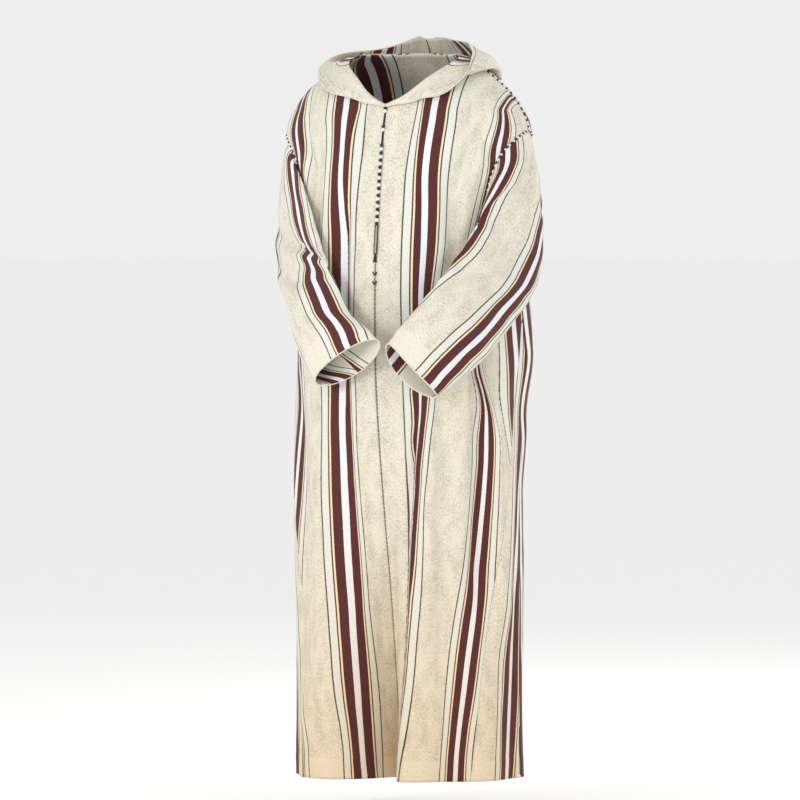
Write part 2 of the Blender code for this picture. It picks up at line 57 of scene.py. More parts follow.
# %% Camera
VIEW_AZIMUTH = math.radians(20)
VIEW_ELEVATION = math.radians(2)
VIEW_DISTANCE = 16.0
VIEW_SPAN = 1.552
SENSOR = 36.0
sight = Vector(
    (
        math.sin(VIEW_AZIMUTH) * math.cos(VIEW_ELEVATION),
        -math.cos(VIEW_AZIMUTH) * math.cos(VIEW_ELEVATION),
        math.sin(VIEW_ELEVATION),
    )
)
rightwards = Vector((math.cos(VIEW_AZIMUTH), math.sin(VIEW_AZIMUTH), 0))
aim = Vector((0, 0, -0.672)) - rightwards * 0.019
camera = bpy.data.objects.new("camera", bpy.data.cameras.new("camera"))
camera.data.sensor_width = SENSOR
camera.data.lens = SENSOR * VIEW_DISTANCE / VIEW_SPAN
camera.location = aim + sight * VIEW_DISTANCE
camera.rotation_mode = "QUATERNION"
camera.rotation_quaternion = (-sight).to_track_quat("-Z", "Y")
bpy.context.scene.collection.objects.link(camera)
bpy.context.scene.camera = camera
print("lens in mm:", round(camera.data.lens, 1))

# %% [markdown]
# ## Smooth curves through short tables
# A body is not a formula, but a handful of measured sections is enough when a smooth curve
# runs through them. One helper reads any column of a table between its rows, so each table
# below can stay as short as a tailor's size chart.

# %% Curves and steps


def curve(table, column, at):
    """Reads a column of a table at given keys, on a smooth curve through its rows."""
    rows = np.array(table, dtype=float)
    keys = rows[:, 0]
    values = rows[:, column]
    slopes = np.gradient(values, keys)
    at = np.clip(at, keys[0], keys[-1])
    low = np.clip(np.searchsorted(keys, at, side="right") - 1, 0, len(keys) - 2)
    span = keys[low + 1] - keys[low]
    t = (at - keys[low]) / span
    rise = t * t * (3 - 2 * t)
    bend = slopes[low] * (t - 2 * t**2 + t**3) - slopes[low + 1] * (t**2 - t**3)
    return values[low] * (1 - rise) + values[low + 1] * rise + span * bend


def step(t):
    """Rises smoothly from 0 to 1."""
    t = np.clip(t, 0.0, 1.0)
    return t * t * (3 - 2 * t)


def wrap(degrees):
    return (degrees + 180.0) % 360.0 - 180.0


def unit(vectors):
    return vectors / np.linalg.norm(vectors, axis=-1, keepdims=True)


def length_along(line):
    """The length from the first point of a line to each of its points."""
    return np.concatenate([[0.0], np.cumsum(np.linalg.norm(np.diff(line, axis=0), axis=1))])


print("half way up a step:", round(float(step(0.5)), 3))


# %% [markdown]
# ## The form that the cloth hangs in
# Every point of the body of the robe has an angle round it, in degrees from the centre of
# the front towards the robe's own left, and a drop below the shoulders, in metres. These are
# the sizes that the packed model was made from.

# %% Sections, neckline and seams
CLOTH = 0.0015
SEAM_GAP = 0.0003
HEM_BAND = 0.040
CUFF_BAND = 0.045
YOKE_DROP = 0.190
ARMHOLE_TOP = 0.150
ARMHOLE_BOTTOM = 0.420
GORE_TOP = 0.520
VENT_TOP = 1.250
HEM_DROP = 1.400
ARMHOLE_FRONT = 25.0
ARMHOLE_BACK = 13.0
SHOULDER_SEAM = 90.0
SQUARENESS = 2.3

# drop, half width, depth of the front, depth of the back
BODY_SECTIONS = (
    (0.000, 0.088, 0.058, 0.062),
    (0.012, 0.114, 0.072, 0.076),
    (0.030, 0.150, 0.090, 0.091),
    (0.050, 0.176, 0.105, 0.104),
    (0.075, 0.204, 0.121, 0.116),
    (0.105, 0.226, 0.135, 0.127),
    (0.150, 0.243, 0.150, 0.139),
    (0.200, 0.226, 0.162, 0.148),
    (0.280, 0.205, 0.178, 0.155),
    (0.420, 0.202, 0.196, 0.155),
    (0.560, 0.212, 0.198, 0.150),
    (0.700, 0.221, 0.192, 0.152),
    (0.900, 0.225, 0.184, 0.158),
    (1.150, 0.224, 0.180, 0.166),
    (1.400, 0.227, 0.178, 0.174),
)
# degrees from the centre front, drop
NECKLINE = (
    (0, 0.100),
    (15, 0.082),
    (35, 0.050),
    (60, 0.022),
    (90, 0.006),
    (135, 0.003),
    (180, 0.001),
)
# drop, degrees from the centre front
GORE_SEAM = (
    (0.520, 89.0),
    (0.700, 79.0),
    (0.888, 70.5),
    (1.098, 62.5),
    (1.400, 53.0),
)
print("the widest place is", 2 * max(row[1] for row in BODY_SECTIONS), "m across")

# %% [markdown]
# ## Folds, large and small
# The large folds are those of the packed model. The small ones are what cloth adds by
# itself: soft tucks on the chest, drags that run from the bent sleeves, ripples down the
# skirt. They could come from a cloth simulation, but a simulation would not keep the few
# folds that make this robe's look, so each one is placed one by one and none is even.

# %% Folds
# name, starts, full, ends, angle above, angle below, left side, right side, spread, depth
FOLDS = (
    ("front valley", 0.56, 1.42, 1.80, 5, 3, 18, 4.5, 2.0, -0.124),
    ("left leg ridge", 0.62, 1.20, 1.80, 32, 15, 6, 10, 1.3, 0.013),
    ("right leg ridge", 0.80, 1.30, 1.80, -38, -35, 9, 10, 1.0, 0.015),
    ("left side valley", 0.44, 0.64, 0.98, 57, 60, 4, 4, 1.0, -0.020),
    ("left side ridge", 0.44, 0.64, 1.05, 67, 71, 4, 9, 1.0, 0.016),
    ("left seat", 0.28, 0.43, 0.57, 102, 98, 15, 18, 1.0, 0.021),
    ("left hip", 0.34, 0.50, 0.72, 100, 96, 12, 14, 1.0, 0.009),
    ("left chest", 0.17, 0.27, 0.40, 45, 41, 4, 4, 1.0, -0.009),
    ("right chest", 0.17, 0.24, 0.36, -46, -40, 4, 4, 1.0, -0.009),
    ("right breast", 0.22, 0.34, 0.60, -26, -17, 5, 6, 1.0, -0.006),
    ("left thigh", 0.60, 0.82, 1.10, 44, 36, 5, 6, 1.0, -0.009),
    ("right thigh", 0.55, 0.75, 1.15, -60, -58, 6, 6, 1.0, -0.013),
    ("right shin", 0.90, 1.25, 1.80, -66, -70, 6, 7, 1.0, -0.014),
    ("left shin", 0.95, 1.28, 1.80, 46, 41, 6, 6, 1.0, -0.012),
    ("left hem", 1.05, 1.30, 1.80, 74, 77, 5, 5, 1.0, -0.009),
    ("back valley", 0.66, 1.30, 1.80, 179, 183, 13, 9, 1.2, -0.060),
    ("back left fold", 0.30, 0.60, 1.80, 146, 151, 6, 7, 1.0, -0.014),
    ("back left ridge", 0.50, 0.95, 1.80, 133, 130, 7, 6, 1.0, 0.010),
    ("back right fold", 0.26, 0.55, 1.80, -140, -148, 7, 6, 1.0, -0.016),
    ("back right ridge", 0.55, 0.90, 1.80, -128, -124, 6, 8, 1.0, 0.011),
    ("left back side", 0.62, 0.95, 1.80, 112, 109, 5, 5, 1.0, -0.012),
    ("right back side", 0.50, 0.85, 1.80, -110, -113, 5, 6, 1.0, -0.013),
    ("left shoulder blade", 0.14, 0.26, 0.46, 128, 136, 6, 5, 1.0, -0.008),
    ("right shoulder blade", 0.15, 0.30, 0.50, -124, -131, 5, 6, 1.0, -0.009),
    ("left pleat edge", 0.48, 0.62, 1.00, 31, 27, 2.6, 4.0, 1.0, 0.009),
    ("left thigh tuck", 0.48, 0.62, 0.95, 37, 33, 2.0, 3.5, 1.0, -0.006),
    ("right tuck", 0.20, 0.34, 0.62, -19, -17, 1.8, 1.8, 1.0, -0.006),
    ("left ripple", 0.70, 0.90, 1.80, 53, 50, 2.5, 2.5, 1.0, -0.0035),
    ("right ripple", 0.66, 0.90, 1.80, -50, -47, 2.6, 2.2, 1.0, -0.0035),
    ("right inner ripple", 0.60, 0.78, 1.20, -10, -12, 2.2, 2.2, 1.0, -0.0030),
    ("left gore ripple", 0.80, 1.05, 1.80, 82, 84, 2.0, 2.2, 1.0, -0.0050),
    ("right gore ripple", 0.86, 1.10, 1.80, -80, -83, 2.0, 2.2, 1.0, -0.0050),
    ("back ripple one", 0.42, 0.80, 1.80, 167, 165, 2.6, 3.0, 1.0, -0.0040),
    ("back ripple two", 0.50, 0.85, 1.80, -163, -166, 3.0, 2.6, 1.0, -0.0045),
    ("back ripple three", 0.36, 0.70, 1.80, 122, 120, 2.8, 2.4, 1.0, -0.0040),
    ("back ripple four", 0.44, 0.72, 1.80, -119, -122, 2.4, 2.8, 1.0, -0.0040),
)
FOLD_FADE = 0.14
print(len(FOLDS), "folds")

# %% [markdown]
# ## Overlaps, drags and ripples
# At an overlap one part of the cloth lies over another, so the form steps inward along a
# line. Drags are short and slanted, because the cloth is pulled between two points. The
# ripples are weak waves at several sizes, so that no stretch of the cloth is quite even.

# %% Overlaps, drags and ripples
# Overlaps: cloth steps inward on the front side of a line; drop, angle of the line, depth
PLEAT = (
    (0.560, 27.0, 0.000),
    (0.620, 26.0, 0.003),
    (0.671, 25.2, 0.006),
    (0.741, 24.6, 0.011),
    (0.851, 22.4, 0.015),
    (0.970, 20.4, 0.020),
    (1.125, 18.4, 0.024),
    (1.220, 16.2, 0.024),
    (1.314, 12.8, 0.018),
    (1.400, 9.6, 0.012),
)
SIDE_OVERLAP = (
    (0.500, 50.0, 0.000),
    (0.560, 54.5, 0.004),
    (0.598, 57.5, 0.007),
    (0.671, 63.7, 0.009),
    (0.730, 66.9, 0.008),
    (0.790, 66.2, 0.006),
    (0.865, 65.2, 0.003),
    (0.960, 64.5, 0.000),
)
# line, how steep its step is, how soon it fades away from the line, both in degrees
OVERLAPS = ((PLEAT, 0.9, 7.0), (SIDE_OVERLAP, 0.8, 5.0))
# Drags: drop, angle, reach, slant in degrees of turn per metre, width in degrees, depth
DRAGS = (
    (0.165, 58, 0.050, -95, 3.0, -0.0067),
    (0.215, 52, 0.060, -60, 2.8, -0.0060),
    (0.150, 72, 0.045, -120, 2.6, -0.0060),
    (0.160, -57, 0.048, 90, 2.8, -0.0067),
    (0.225, -51, 0.055, 65, 2.6, -0.0060),
    (0.125, -70, 0.040, 115, 2.8, -0.0053),
    (0.330, 28, 0.070, 40, 3.0, -0.0037),
    (0.430, -30, 0.060, -55, 3.2, -0.0037),
    (0.505, 38, 0.045, 120, 3.4, -0.0053),
    (0.560, -38, 0.050, -110, 3.2, -0.0053),
    (0.620, 12, 0.070, 45, 2.4, -0.0033),
    (0.235, 150, 0.070, 70, 3.2, -0.0060),
    (0.250, -152, 0.075, -75, 3.2, -0.0060),
    (0.330, 165, 0.090, 30, 2.8, -0.0045),
    (0.380, -168, 0.100, -28, 2.8, -0.0045),
    (0.360, 118, 0.060, 60, 3.2, -0.0060),
    (0.400, -116, 0.060, -70, 3.2, -0.0060),
    (0.560, 176, 0.060, 90, 3.4, -0.0045),
    (0.600, -174, 0.070, -60, 3.4, -0.0037),
)
# Unevenness: waves round the body, waves down it, shift, height
RIPPLES = (
    (5, 1.3, 0.4, 0.0011),
    (9, 2.1, 1.9, 0.0009),
    (14, 3.3, 0.8, 0.0006),
    (23, 5.2, 2.7, 0.0004),
    (31, 9.0, 1.1, 0.0003),
)
print(len(DRAGS), "drags and", len(RIPPLES), "ripples")

# %% [markdown]
# ## The outer face as a function
# With the tables in place, the outer face of the robe's body is one function of an angle
# and a drop. Everything that lies on the body is worked out from this function, so that
# seams, stitches and edgings sit on the cloth without being measured from a mesh.

# %% Outer face
HEM_STEP = 0.0006
SEAM_GROOVE = 0.0012
# degrees from the seam: half width of its groove, place and half width of the ridge beside it
GROOVE_WIDTH = 0.9
RIDGE_PLACE = 2.1
RIDGE_WIDTH = 0.7
RIDGE_SHARE = 0.6


def fold_depth(angle, drop):
    """Adds up what every fold does to the body's radius at an angle and a drop."""
    total = np.zeros(np.broadcast(angle, drop).shape)
    for _, starts, full, ends, above, below, left, right, spread, depth in FOLDS:
        grown = step((drop - starts) / (full - starts)) * (1 - step((drop - ends) / FOLD_FADE))
        way = np.clip((drop - starts) / (HEM_DROP - starts), 0, 1)
        away = wrap(angle - above - (below - above) * way)
        width = np.where(away < 0, left, right) * (spread + (1 - spread) * way)
        total = total + depth * grown * np.exp(-0.5 * (away / width) ** 2)
    for middle, around, reach, slant, width, depth in DRAGS:
        along = (drop - middle) / reach
        away = wrap(angle - around - slant * (drop - middle)) / width
        total = total + depth * np.exp(-0.5 * (along**2 + away**2))
    turn = np.radians(angle)
    for waves, down, shift, height in RIPPLES:
        swell = np.sin(waves * turn + shift + down * 3.0 * drop)
        swell = swell * np.cos(down * 5.0 * drop + 2 * shift)
        total = total + height * swell * step(drop / ARMHOLE_TOP)
    for line, steep, fade in OVERLAPS:
        away = curve(line, 1, drop) - wrap(angle)
        total = total - curve(line, 2, drop) * step(away / steep) * np.exp(-((away / fade) ** 2))
    seam = np.abs(wrap(angle))
    total = total - SEAM_GROOVE * np.exp(-((seam / GROOVE_WIDTH) ** 2))
    ridge = np.exp(-(((seam - RIDGE_PLACE) / RIDGE_WIDTH) ** 2))
    total = total + SEAM_GROOVE * RIDGE_SHARE * ridge
    return total + HEM_STEP * step((drop - HEM_DROP + HEM_BAND) / 0.002)


def body_point(angle, drop):
    """The outer face of the body at an angle in degrees and a drop."""
    turn = np.radians(angle)
    front = curve(BODY_SECTIONS, 2, drop)
    depth = np.where(np.cos(turn) > 0, front, curve(BODY_SECTIONS, 3, drop))
    across = np.abs(np.sin(turn)) / curve(BODY_SECTIONS, 1, drop)
    along = np.abs(np.cos(turn)) / depth
    radius = (across**SQUARENESS + along**SQUARENESS) ** (-1 / SQUARENESS)
    radius = radius + fold_depth(angle, drop)
    return np.stack([radius * np.sin(turn), -radius * np.cos(turn), -drop + 0 * radius], axis=-1)


def body_normal(angle, drop):
    """The direction that the body's outer face looks in."""
    round_it = body_point(angle + 0.4, drop) - body_point(angle - 0.4, drop)
    down_it = body_point(angle, drop + 0.002) - body_point(angle, drop - 0.002)
    return unit(np.cross(down_it, round_it))


def neck_drop(angle):
    return curve(NECKLINE, 1, np.abs(wrap(angle)))


print("front of the hem:", np.round(body_point(np.array(15.0), np.array(HEM_DROP)), 3))

# %% [markdown]
# ## Where the stripes run
# The stripes were woven in before the robe was cut, so they tell how the cloth lies. Each
# point gets a cloth coordinate: its distance across the cloth from the centre seam. The
# tables say at which angle some marks of the pattern pass at some drops; between them the
# real length of the cloth is shared out, and a fold that swallows cloth brings two marks
# close together. Above the shoulders' widest place the stripes simply keep their distance
# from the middle of the robe.

# %% Cloth coordinates
REPEAT = 0.185
HALF_REPEAT = REPEAT / 2
GROUP_MIDDLE = 0.095
# distances across the cloth at which the columns of the next two tables stand
MARKS = (0.0475, 0.0705, 0.0885, 0.1425, 0.2325, 0.3275, 0.4175, 0.4715)
# the second and third column on the left, where the pleat hides cloth: drop, two distances
PLEAT_MARKS = (
    (0.108, 0.0705, 0.0885),
    (0.591, 0.0705, 0.0885),
    (0.671, 0.0885, 0.1015),
    (0.741, 0.0850, 0.1015),
    (0.790, 0.0640, 0.1015),
    (0.851, 0.0575, 0.1015),
    (0.970, 0.0500, 0.1080),
    (1.047, 0.0485, 0.1175),
    (1.125, 0.0485, 0.1195),
    (1.220, 0.0485, 0.1205),
    (1.314, 0.0485, 0.1240),
    (1.400, 0.0485, 0.1260),
)
# drop, degrees from the centre front for each mark, on the robe's left side
STRIPES_LEFT = (
    (0.108, 25.2, 29.7, 34.6, 50.6, 69.2, 80.0, 100, 116),
    (0.165, 20.5, 26.2, 30.1, 46.1, 62.3, 78.0, 100, 116),
    (0.229, 17.0, 24.0, 27.2, 43.6, 61.5, 78.0, 100, 114),
    (0.295, 15.8, 23.2, 26.8, 42.1, 57.5, 76.0, 96, 110),
    (0.369, 14.9, 22.0, 26.0, 40.0, 52.0, 70.0, 88, 100),
    (0.462, 14.6, 21.4, 24.5, 35.8, 51.5, 64.0, 75, 87),
    (0.554, 15.2, 21.8, 24.7, 34.4, 53.0, 61.0, 68.4, 84.4),
    (0.591, 15.4, 22.0, 24.8, 33.9, 56.5, 61.0, 67.3, 84.5),
    (0.671, 16.0, 25.0, 25.9, 33.2, 59.8, 64.4, 66.8, 84.5),
    (0.741, 16.9, 24.0, 24.6, 30.8, 56.5, 67.2, 70.5, 85.0),
    (0.790, 17.4, 22.7, 23.4, 29.6, 56.0, 67.2, 74, 89),
    (0.851, 18.2, 21.8, 22.4, 27.9, 54.4, 66.9, 80, 94),
    (0.970, 18.9, 19.6, 20.4, 27.0, 50.0, 66.0, 84, 98),
    (1.047, 18.4, 18.7, 19.6, 26.2, 46.6, 65.2, 84, 98),
    (1.125, 17.2, 17.5, 18.4, 24.3, 43.6, 63.0, 84, 98),
    (1.220, 14.9, 15.2, 16.2, 22.0, 40.5, 59.7, 82, 96),
    (1.314, 11.5, 11.8, 12.8, 18.1, 38.7, 55.4, 80, 94),
    (1.370, 9.3, 9.6, 10.6, 14.8, 37.5, 54.0, 79, 93),
    (1.400, 8.3, 8.6, 9.6, 13.4, 37.0, 53.6, 78, 92),
)
# the same for the robe's right side
STRIPES_RIGHT = (
    (0.105, 15.5, 22.9, 30.5, 47.1, 60, 79, 102, 116),
    (0.163, 13.1, 23.2, 27.8, 40.7, 54, 74, 97, 111),
    (0.227, 12.9, 21.8, 25.7, 39.5, 54, 75, 98, 112),
    (0.294, 13.1, 21.1, 23.1, 39.0, 56, 78, 100, 114),
    (0.369, 12.4, 18.2, 19.2, 37.6, 57, 79, 101, 115),
    (0.462, 12.3, 16.8, 17.8, 36.3, 55, 78, 100, 114),
    (0.672, 12.7, 16.9, 20.0, 35.7, 50.5, 70, 91, 105),
    (0.742, 14.1, 16.9, 20.8, 37.2, 53.5, 74, 94, 108),
    (0.855, 15.4, 18.8, 22.8, 39.9, 58.5, 80, 101, 115),
    (0.970, 16.2, 19.8, 24.2, 39.4, 63, 86, 106, 120),
    (1.087, 16.4, 20.1, 23.9, 36.9, 65, 88, 106, 120),
    (1.234, 14.2, 18.9, 22.5, 32.9, 58, 80, 100, 114),
    (1.337, 12.8, 17.1, 20.6, 28.9, 49.2, 70, 92, 106),
    (1.400, 12.2, 15.6, 18.8, 27.4, 47.0, 67, 90, 104),
)
# the first mark of the gore's stripes: drop, degrees
GORE_STRIPES = (
    (0.520, 86),
    (0.740, 80),
    (0.967, 74),
    (1.081, 71),
    (1.226, 70),
    (1.400, 66.5),
)
print("each stripe group repeats after", REPEAT * 1000, "mm")

# %% [markdown]
# ## From marks to lengths
# Between two marks the cloth's real length is shared out, which needs the length along the
# body at many angles and drops. It is measured once into tables, and reading a table is
# much quicker than measuring anew for each corner of a panel.

# %% Lookup tables
SHOULDER_REFERENCE = 0.110
BACK_REFERENCE = 0.200
BACK_EASE = 0.915
BACK_TURNS_AT = 0.82
LOOKUP_ANGLES = np.linspace(0, 180, 721)
LOOKUP_DROPS = np.linspace(0, HEM_DROP, 281)


def arc_table(start, side):
    """Length along the body from a starting angle, at every angle and drop of the lookup."""
    drops = LOOKUP_DROPS[:, None] + 0 * LOOKUP_ANGLES
    points = body_point(start + side * LOOKUP_ANGLES[None, :] + 0 * drops, drops)
    pieces = np.linalg.norm(np.diff(points, axis=1), axis=-1)
    arcs = np.concatenate([np.zeros((len(LOOKUP_DROPS), 1)), np.cumsum(pieces, axis=1)], axis=1)
    return arcs, np.abs(points[..., 0])


def keep_off_middle(table, sideways, reference, turns_at=1.0):
    """Above the reference drop, copies its cloth coordinates at equal distance from the middle,
    out to a share of the widest place; beyond it the length round the body counts."""
    row = int(np.argmin(np.abs(LOOKUP_DROPS - reference)))
    widest = int(np.argmax(sideways[row]))
    for r in range(row):
        spread = sideways[r] * (1 - 0.05 * (1 - LOOKUP_DROPS[r] / reference))
        beyond = np.maximum(spread - sideways[row][widest], 0)
        copied = np.interp(spread, sideways[row][: widest + 1], table[row][: widest + 1]) + beyond
        top = int(np.argmax(spread >= turns_at * spread.max()))
        copied[top:] = copied[top] + table[r][top:] - table[r][top]
        table[r] = copied
    return table


def front_table(marks, side):
    arcs, sideways = arc_table(0.0, side)
    table = np.empty_like(arcs)
    for r, drop in enumerate(LOOKUP_DROPS):
        known = [0.0, *MARKS]
        if side > 0:
            known[2:4] = [float(np.interp(drop, *np.array(PLEAT_MARKS).T[[0, c]])) for c in (1, 2)]
        turns = [float(curve(marks, c, drop)) for c in range(1, len(MARKS) + 1)]
        places = np.interp([0.0] + turns, LOOKUP_ANGLES, arcs[r])
        table[r] = np.interp(arcs[r], places, known) + np.maximum(arcs[r] - places[-1], 0)
    return keep_off_middle(table, sideways, SHOULDER_REFERENCE)


def back_table(side):
    arcs, sideways = arc_table(180.0, side)
    return keep_off_middle(arcs * BACK_EASE, sideways, BACK_REFERENCE, BACK_TURNS_AT)


def look_up(table, turn, drop):
    """Reads a table of the lookup between its angles and drops."""
    column = np.clip(turn / 180.0 * (len(LOOKUP_ANGLES) - 1), 0, len(LOOKUP_ANGLES) - 1.001)
    row = np.clip(drop / HEM_DROP * (len(LOOKUP_DROPS) - 1), 0, len(LOOKUP_DROPS) - 1.001)
    c = column.astype(int)
    r = row.astype(int)
    x = column - c
    y = row - r
    above = table[r, c] * (1 - x) + table[r, c + 1] * x
    below = table[r + 1, c] * (1 - x) + table[r + 1, c + 1] * x
    return above * (1 - y) + below * y


TABLES = {
    "front_left": front_table(STRIPES_LEFT, 1),
    "front_right": front_table(STRIPES_RIGHT, -1),
    "back_left": back_table(-1),
    "back_right": back_table(1),
    "gore_left": arc_table(0.0, 1)[0],
    "gore_right": arc_table(0.0, -1)[0],
}
print("cloth from centre seam to side seam:", round(float(TABLES["front_left"][100, 360]), 3))

# %% [markdown]
# ## Across the cloth of each panel
# Each kind of panel reads its own table. One half of the robe reads its stripes backwards:
# they are the same either way, but the flecks between them would otherwise be mirrored.

# %% Across each panel


def read_backwards(across):
    """The same stripes read the other way, so that two halves don't mirror their flecks."""
    return 2 * (GROUP_MIDDLE - HALF_REPEAT) - across


def across_front(side, angle, drop):
    across = look_up(TABLES["front_left" if side > 0 else "front_right"], np.abs(angle), drop)
    return across if side > 0 else read_backwards(across)


def across_back(angle, drop):
    away = wrap(angle - 180.0)
    left = look_up(TABLES["back_left"], np.maximum(-away, 0), drop)
    right = look_up(TABLES["back_right"], np.maximum(away, 0), drop)
    return np.where(away < 0, read_backwards(left), right)


def across_gore(side, angle, drop):
    table = TABLES["gore_left" if side > 0 else "gore_right"]
    first = look_up(table, curve(GORE_STRIPES, 1, drop), drop)
    across = MARKS[4] + look_up(table, np.abs(angle), drop) - first
    return across if side > 0 else read_backwards(across)


to_side = float(across_front(1, np.array(SHOULDER_SEAM), np.array(1.0)))
print("cloth to the side, a metre down:", round(to_side, 3))

# %% [markdown]
# ## Sheets of cloth
# A grid from bmesh is the flat cloth on the cutting table. Moving its corners onto the
# form gives a draped panel with an even mesh, and each corner keeps its place on the cloth
# as a UV, in metres. That lets one material weave the stripes into every panel at true
# size. A Solidify modifier then gives the sheet its thickness, towards the inside.


def grid_normals(points, closed):
    """Normals of a grid of points, whose second direction may close on itself."""
    if closed:
        across = np.roll(points, -1, axis=1) - np.roll(points, 1, axis=1)
    else:
        across = np.gradient(points, axis=1)
    return unit(np.cross(np.gradient(points, axis=0), across))


def finish_piece(name, mesh, finish, stands_for=()):
    """Puts a mesh into the scene as a piece of the robe."""
    piece = bpy.data.objects.new(name, mesh)
    bpy.context.scene.collection.objects.link(piece)
    mesh.shade_smooth()
    mesh.materials.append(finish)
    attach(piece, BODY)
    if stands_for:
        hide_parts(*stands_for)
    return piece


def cloth_sheet(name, points, cloth, finish, stands_for, outward=1, thickness=CLOTH):
    """A sheet whose grid corners lie on points, and keep cloth as their place on the cloth."""
    rows = len(points) - 1
    columns = len(points[0]) - 1
    work = bmesh.new()
    bmesh.ops.create_grid(work, x_segments=columns, y_segments=rows, size=0.5)
    places = []
    for corner in work.verts:
        r = round((0.5 - corner.co.y) * rows)
        c = round((corner.co.x + 0.5) * columns)
        places.append((r, c))
    weave = work.loops.layers.uv.new("cloth")
    for face in work.faces:
        for loop in face.loops:
            loop[weave].uv = cloth[places[loop.vert.index]]
    for corner, place in zip(work.verts, places):
        corner.co = points[place]
    bmesh.ops.remove_doubles(work, verts=work.verts, dist=1e-6)
    work.normal_update()
    middle = (rows // 2, columns // 2)
    centre = Vector(points[middle])
    centre_face = min(work.faces, key=lambda face: (face.calc_center_median() - centre).length)
    wanted = grid_normals(points, closed=False)[middle] * outward
    if centre_face.normal.dot(Vector(wanted)) < 0:
        bmesh.ops.reverse_faces(work, faces=work.faces)
    mesh = bpy.data.meshes.new(name)
    work.to_mesh(mesh)
    work.free()
    piece = finish_piece(name, mesh, finish, stands_for)
    wall = piece.modifiers.new("wall", "SOLIDIFY")
    wall.thickness = thickness
    wall.offset = -1.0
    wall.use_even_offset = False
    return piece


print("sheets are", CLOTH * 1000, "mm thick")

# %% [markdown]
# ## Shader maths as plain sums
# A woven pattern is easiest to write as sums on the cloth coordinate. The class below wraps
# a socket, so that adding, subtracting, multiplying or dividing it adds the Math node for
# it. All other nodes come from one method that takes a type, its settings and its values.

# %% Sums on sockets


class Wire:
    """A value that varies over a surface; sums on it add Math nodes."""

    def __init__(self, finish, socket):
        self.finish = finish
        self.socket = socket

    def maths(self, operation, left, right=0.0):
        node = "ShaderNodeMath"
        return self.finish.node(node, {"operation": operation}, {0: left, 1: right})[0]

    def __add__(self, other):
        return self.maths("ADD", self, other)

    def __radd__(self, other):
        return self.maths("ADD", other, self)

    def __sub__(self, other):
        return self.maths("SUBTRACT", self, other)

    def __rsub__(self, other):
        return self.maths("SUBTRACT", other, self)

    def __mul__(self, other):
        return self.maths("MULTIPLY", self, other)

    def __rmul__(self, other):
        return self.maths("MULTIPLY", other, self)

    def __truediv__(self, other):
        return self.maths("DIVIDE", self, other)

    def above(self, limit):
        return self.maths("GREATER_THAN", self, limit)

    def wave(self, length):
        """A sine wave of this length along the value."""
        return self.maths("SINE", self * (2 * math.pi / length))

    def there_and_back(self, reach):
        return self.maths("PINGPONG", self, reach)


print("sums understood:", [name for name in vars(Wire) if name.endswith("add__")])

# %% [markdown]
# ## Building a material
# Every finish of the robe starts from the Principled shader. What is the same all over goes
# straight onto its sockets, and what varies is fed to them as a wire.

# %% Finish of a piece


class Finish:
    """A material under construction."""

    def __init__(self, name, roughness, **constants):
        self.material = bpy.data.materials.new(name)
        self.material.use_nodes = True
        self.tree = self.material.node_tree
        self.surface = self.tree.nodes["Principled BSDF"]
        self.surface.inputs["Roughness"].default_value = roughness
        for socket, value in constants.items():
            self.surface.inputs[socket.replace("_", " ")].default_value = value

    def node(self, kind, settings=None, values=None):
        """Adds a node: settings first, then the values or links of its sockets."""
        made = self.tree.nodes.new(kind)
        for key, value in (settings or {}).items():
            if key == "stops":
                self.set_stops(made.color_ramp, value)
            else:
                setattr(made, key, value)
        for key, value in (values or {}).items():
            if isinstance(value, Wire):
                self.tree.links.new(value.socket, made.inputs[key])
            else:
                made.inputs[key].default_value = value
        return [Wire(self, socket) for socket in made.outputs]

    def set_stops(self, ramp, stops):
        ramp.interpolation = "CONSTANT"
        while len(ramp.elements) < len(stops):
            ramp.elements.new(1.0)
        for element, (place, colour) in zip(ramp.elements, stops):
            element.position = place
            element.color = (*colour, 1.0)

    def mix(self, share, first, second, blend="MIX"):
        """Mixes two colours."""
        settings = {"data_type": "RGBA", "blend_type": blend}
        made = self.node("ShaderNodeMix", settings)
        node = made[0].socket.node
        sockets = (node.inputs[0], node.inputs[6], node.inputs[7])
        for socket, value in zip(sockets, (share, first, second)):
            if isinstance(value, Wire):
                self.tree.links.new(value.socket, socket)
            elif isinstance(value, tuple):
                socket.default_value = (*value, 1.0)
            else:
                socket.default_value = value
        return Wire(self, node.outputs[2])

    def noise(self, place, scale, detail=2.0, roughness=0.5):
        values = {"Vector": place, "Scale": scale, "Detail": detail, "Roughness": roughness}
        return self.node("ShaderNodeTexNoise", None, values)[0]

    def feed(self, socket, value):
        self.tree.links.new(value.socket, self.surface.inputs[socket])

    def bump(self, height, distance, strength):
        values = {"Height": height, "Distance": distance, "Strength": strength}
        self.feed("Normal", self.node("ShaderNodeBump", None, values)[0])


def from_screen(red, green, blue):
    """A colour given as on a screen, 0 to 255, as the linear one that shaders use."""

    def linear(part):
        part /= 255.0
        return part / 12.92 if part <= 0.04045 else ((part + 0.055) / 1.055) ** 2.4

    return (linear(red), linear(green), linear(blue))


print("mid grey on a screen is", round(from_screen(188, 188, 188)[0], 2), "for a shader")

# %% [markdown]
# ## Striped cloth
# One group of stripes repeats across the cloth between wide plain bands. The pattern is the
# same read from left or right, so the distance to the middle of the nearest group is all
# that a colour ramp needs. The plain bands are heathered: grey flecks were spun into the
# thread, longer along the cloth than across it. Hems and cuffs are double and look calmer.

# %% Woven stripes
CREAM = from_screen(233, 229, 213)
GREY_FLECK = from_screen(168, 164, 148)
# warm tint, for the cloth's uneven tone and for painted warm light towards the hem
WARM_TONE_AND_LIGHT = from_screen(248, 224, 196)
MAROON = from_screen(82, 30, 29)
WHITE = from_screen(236, 238, 242)
WHITE_BAND = from_screen(226, 230, 224)
GOLD = from_screen(244, 226, 190)
PIN = from_screen(92, 66, 42)
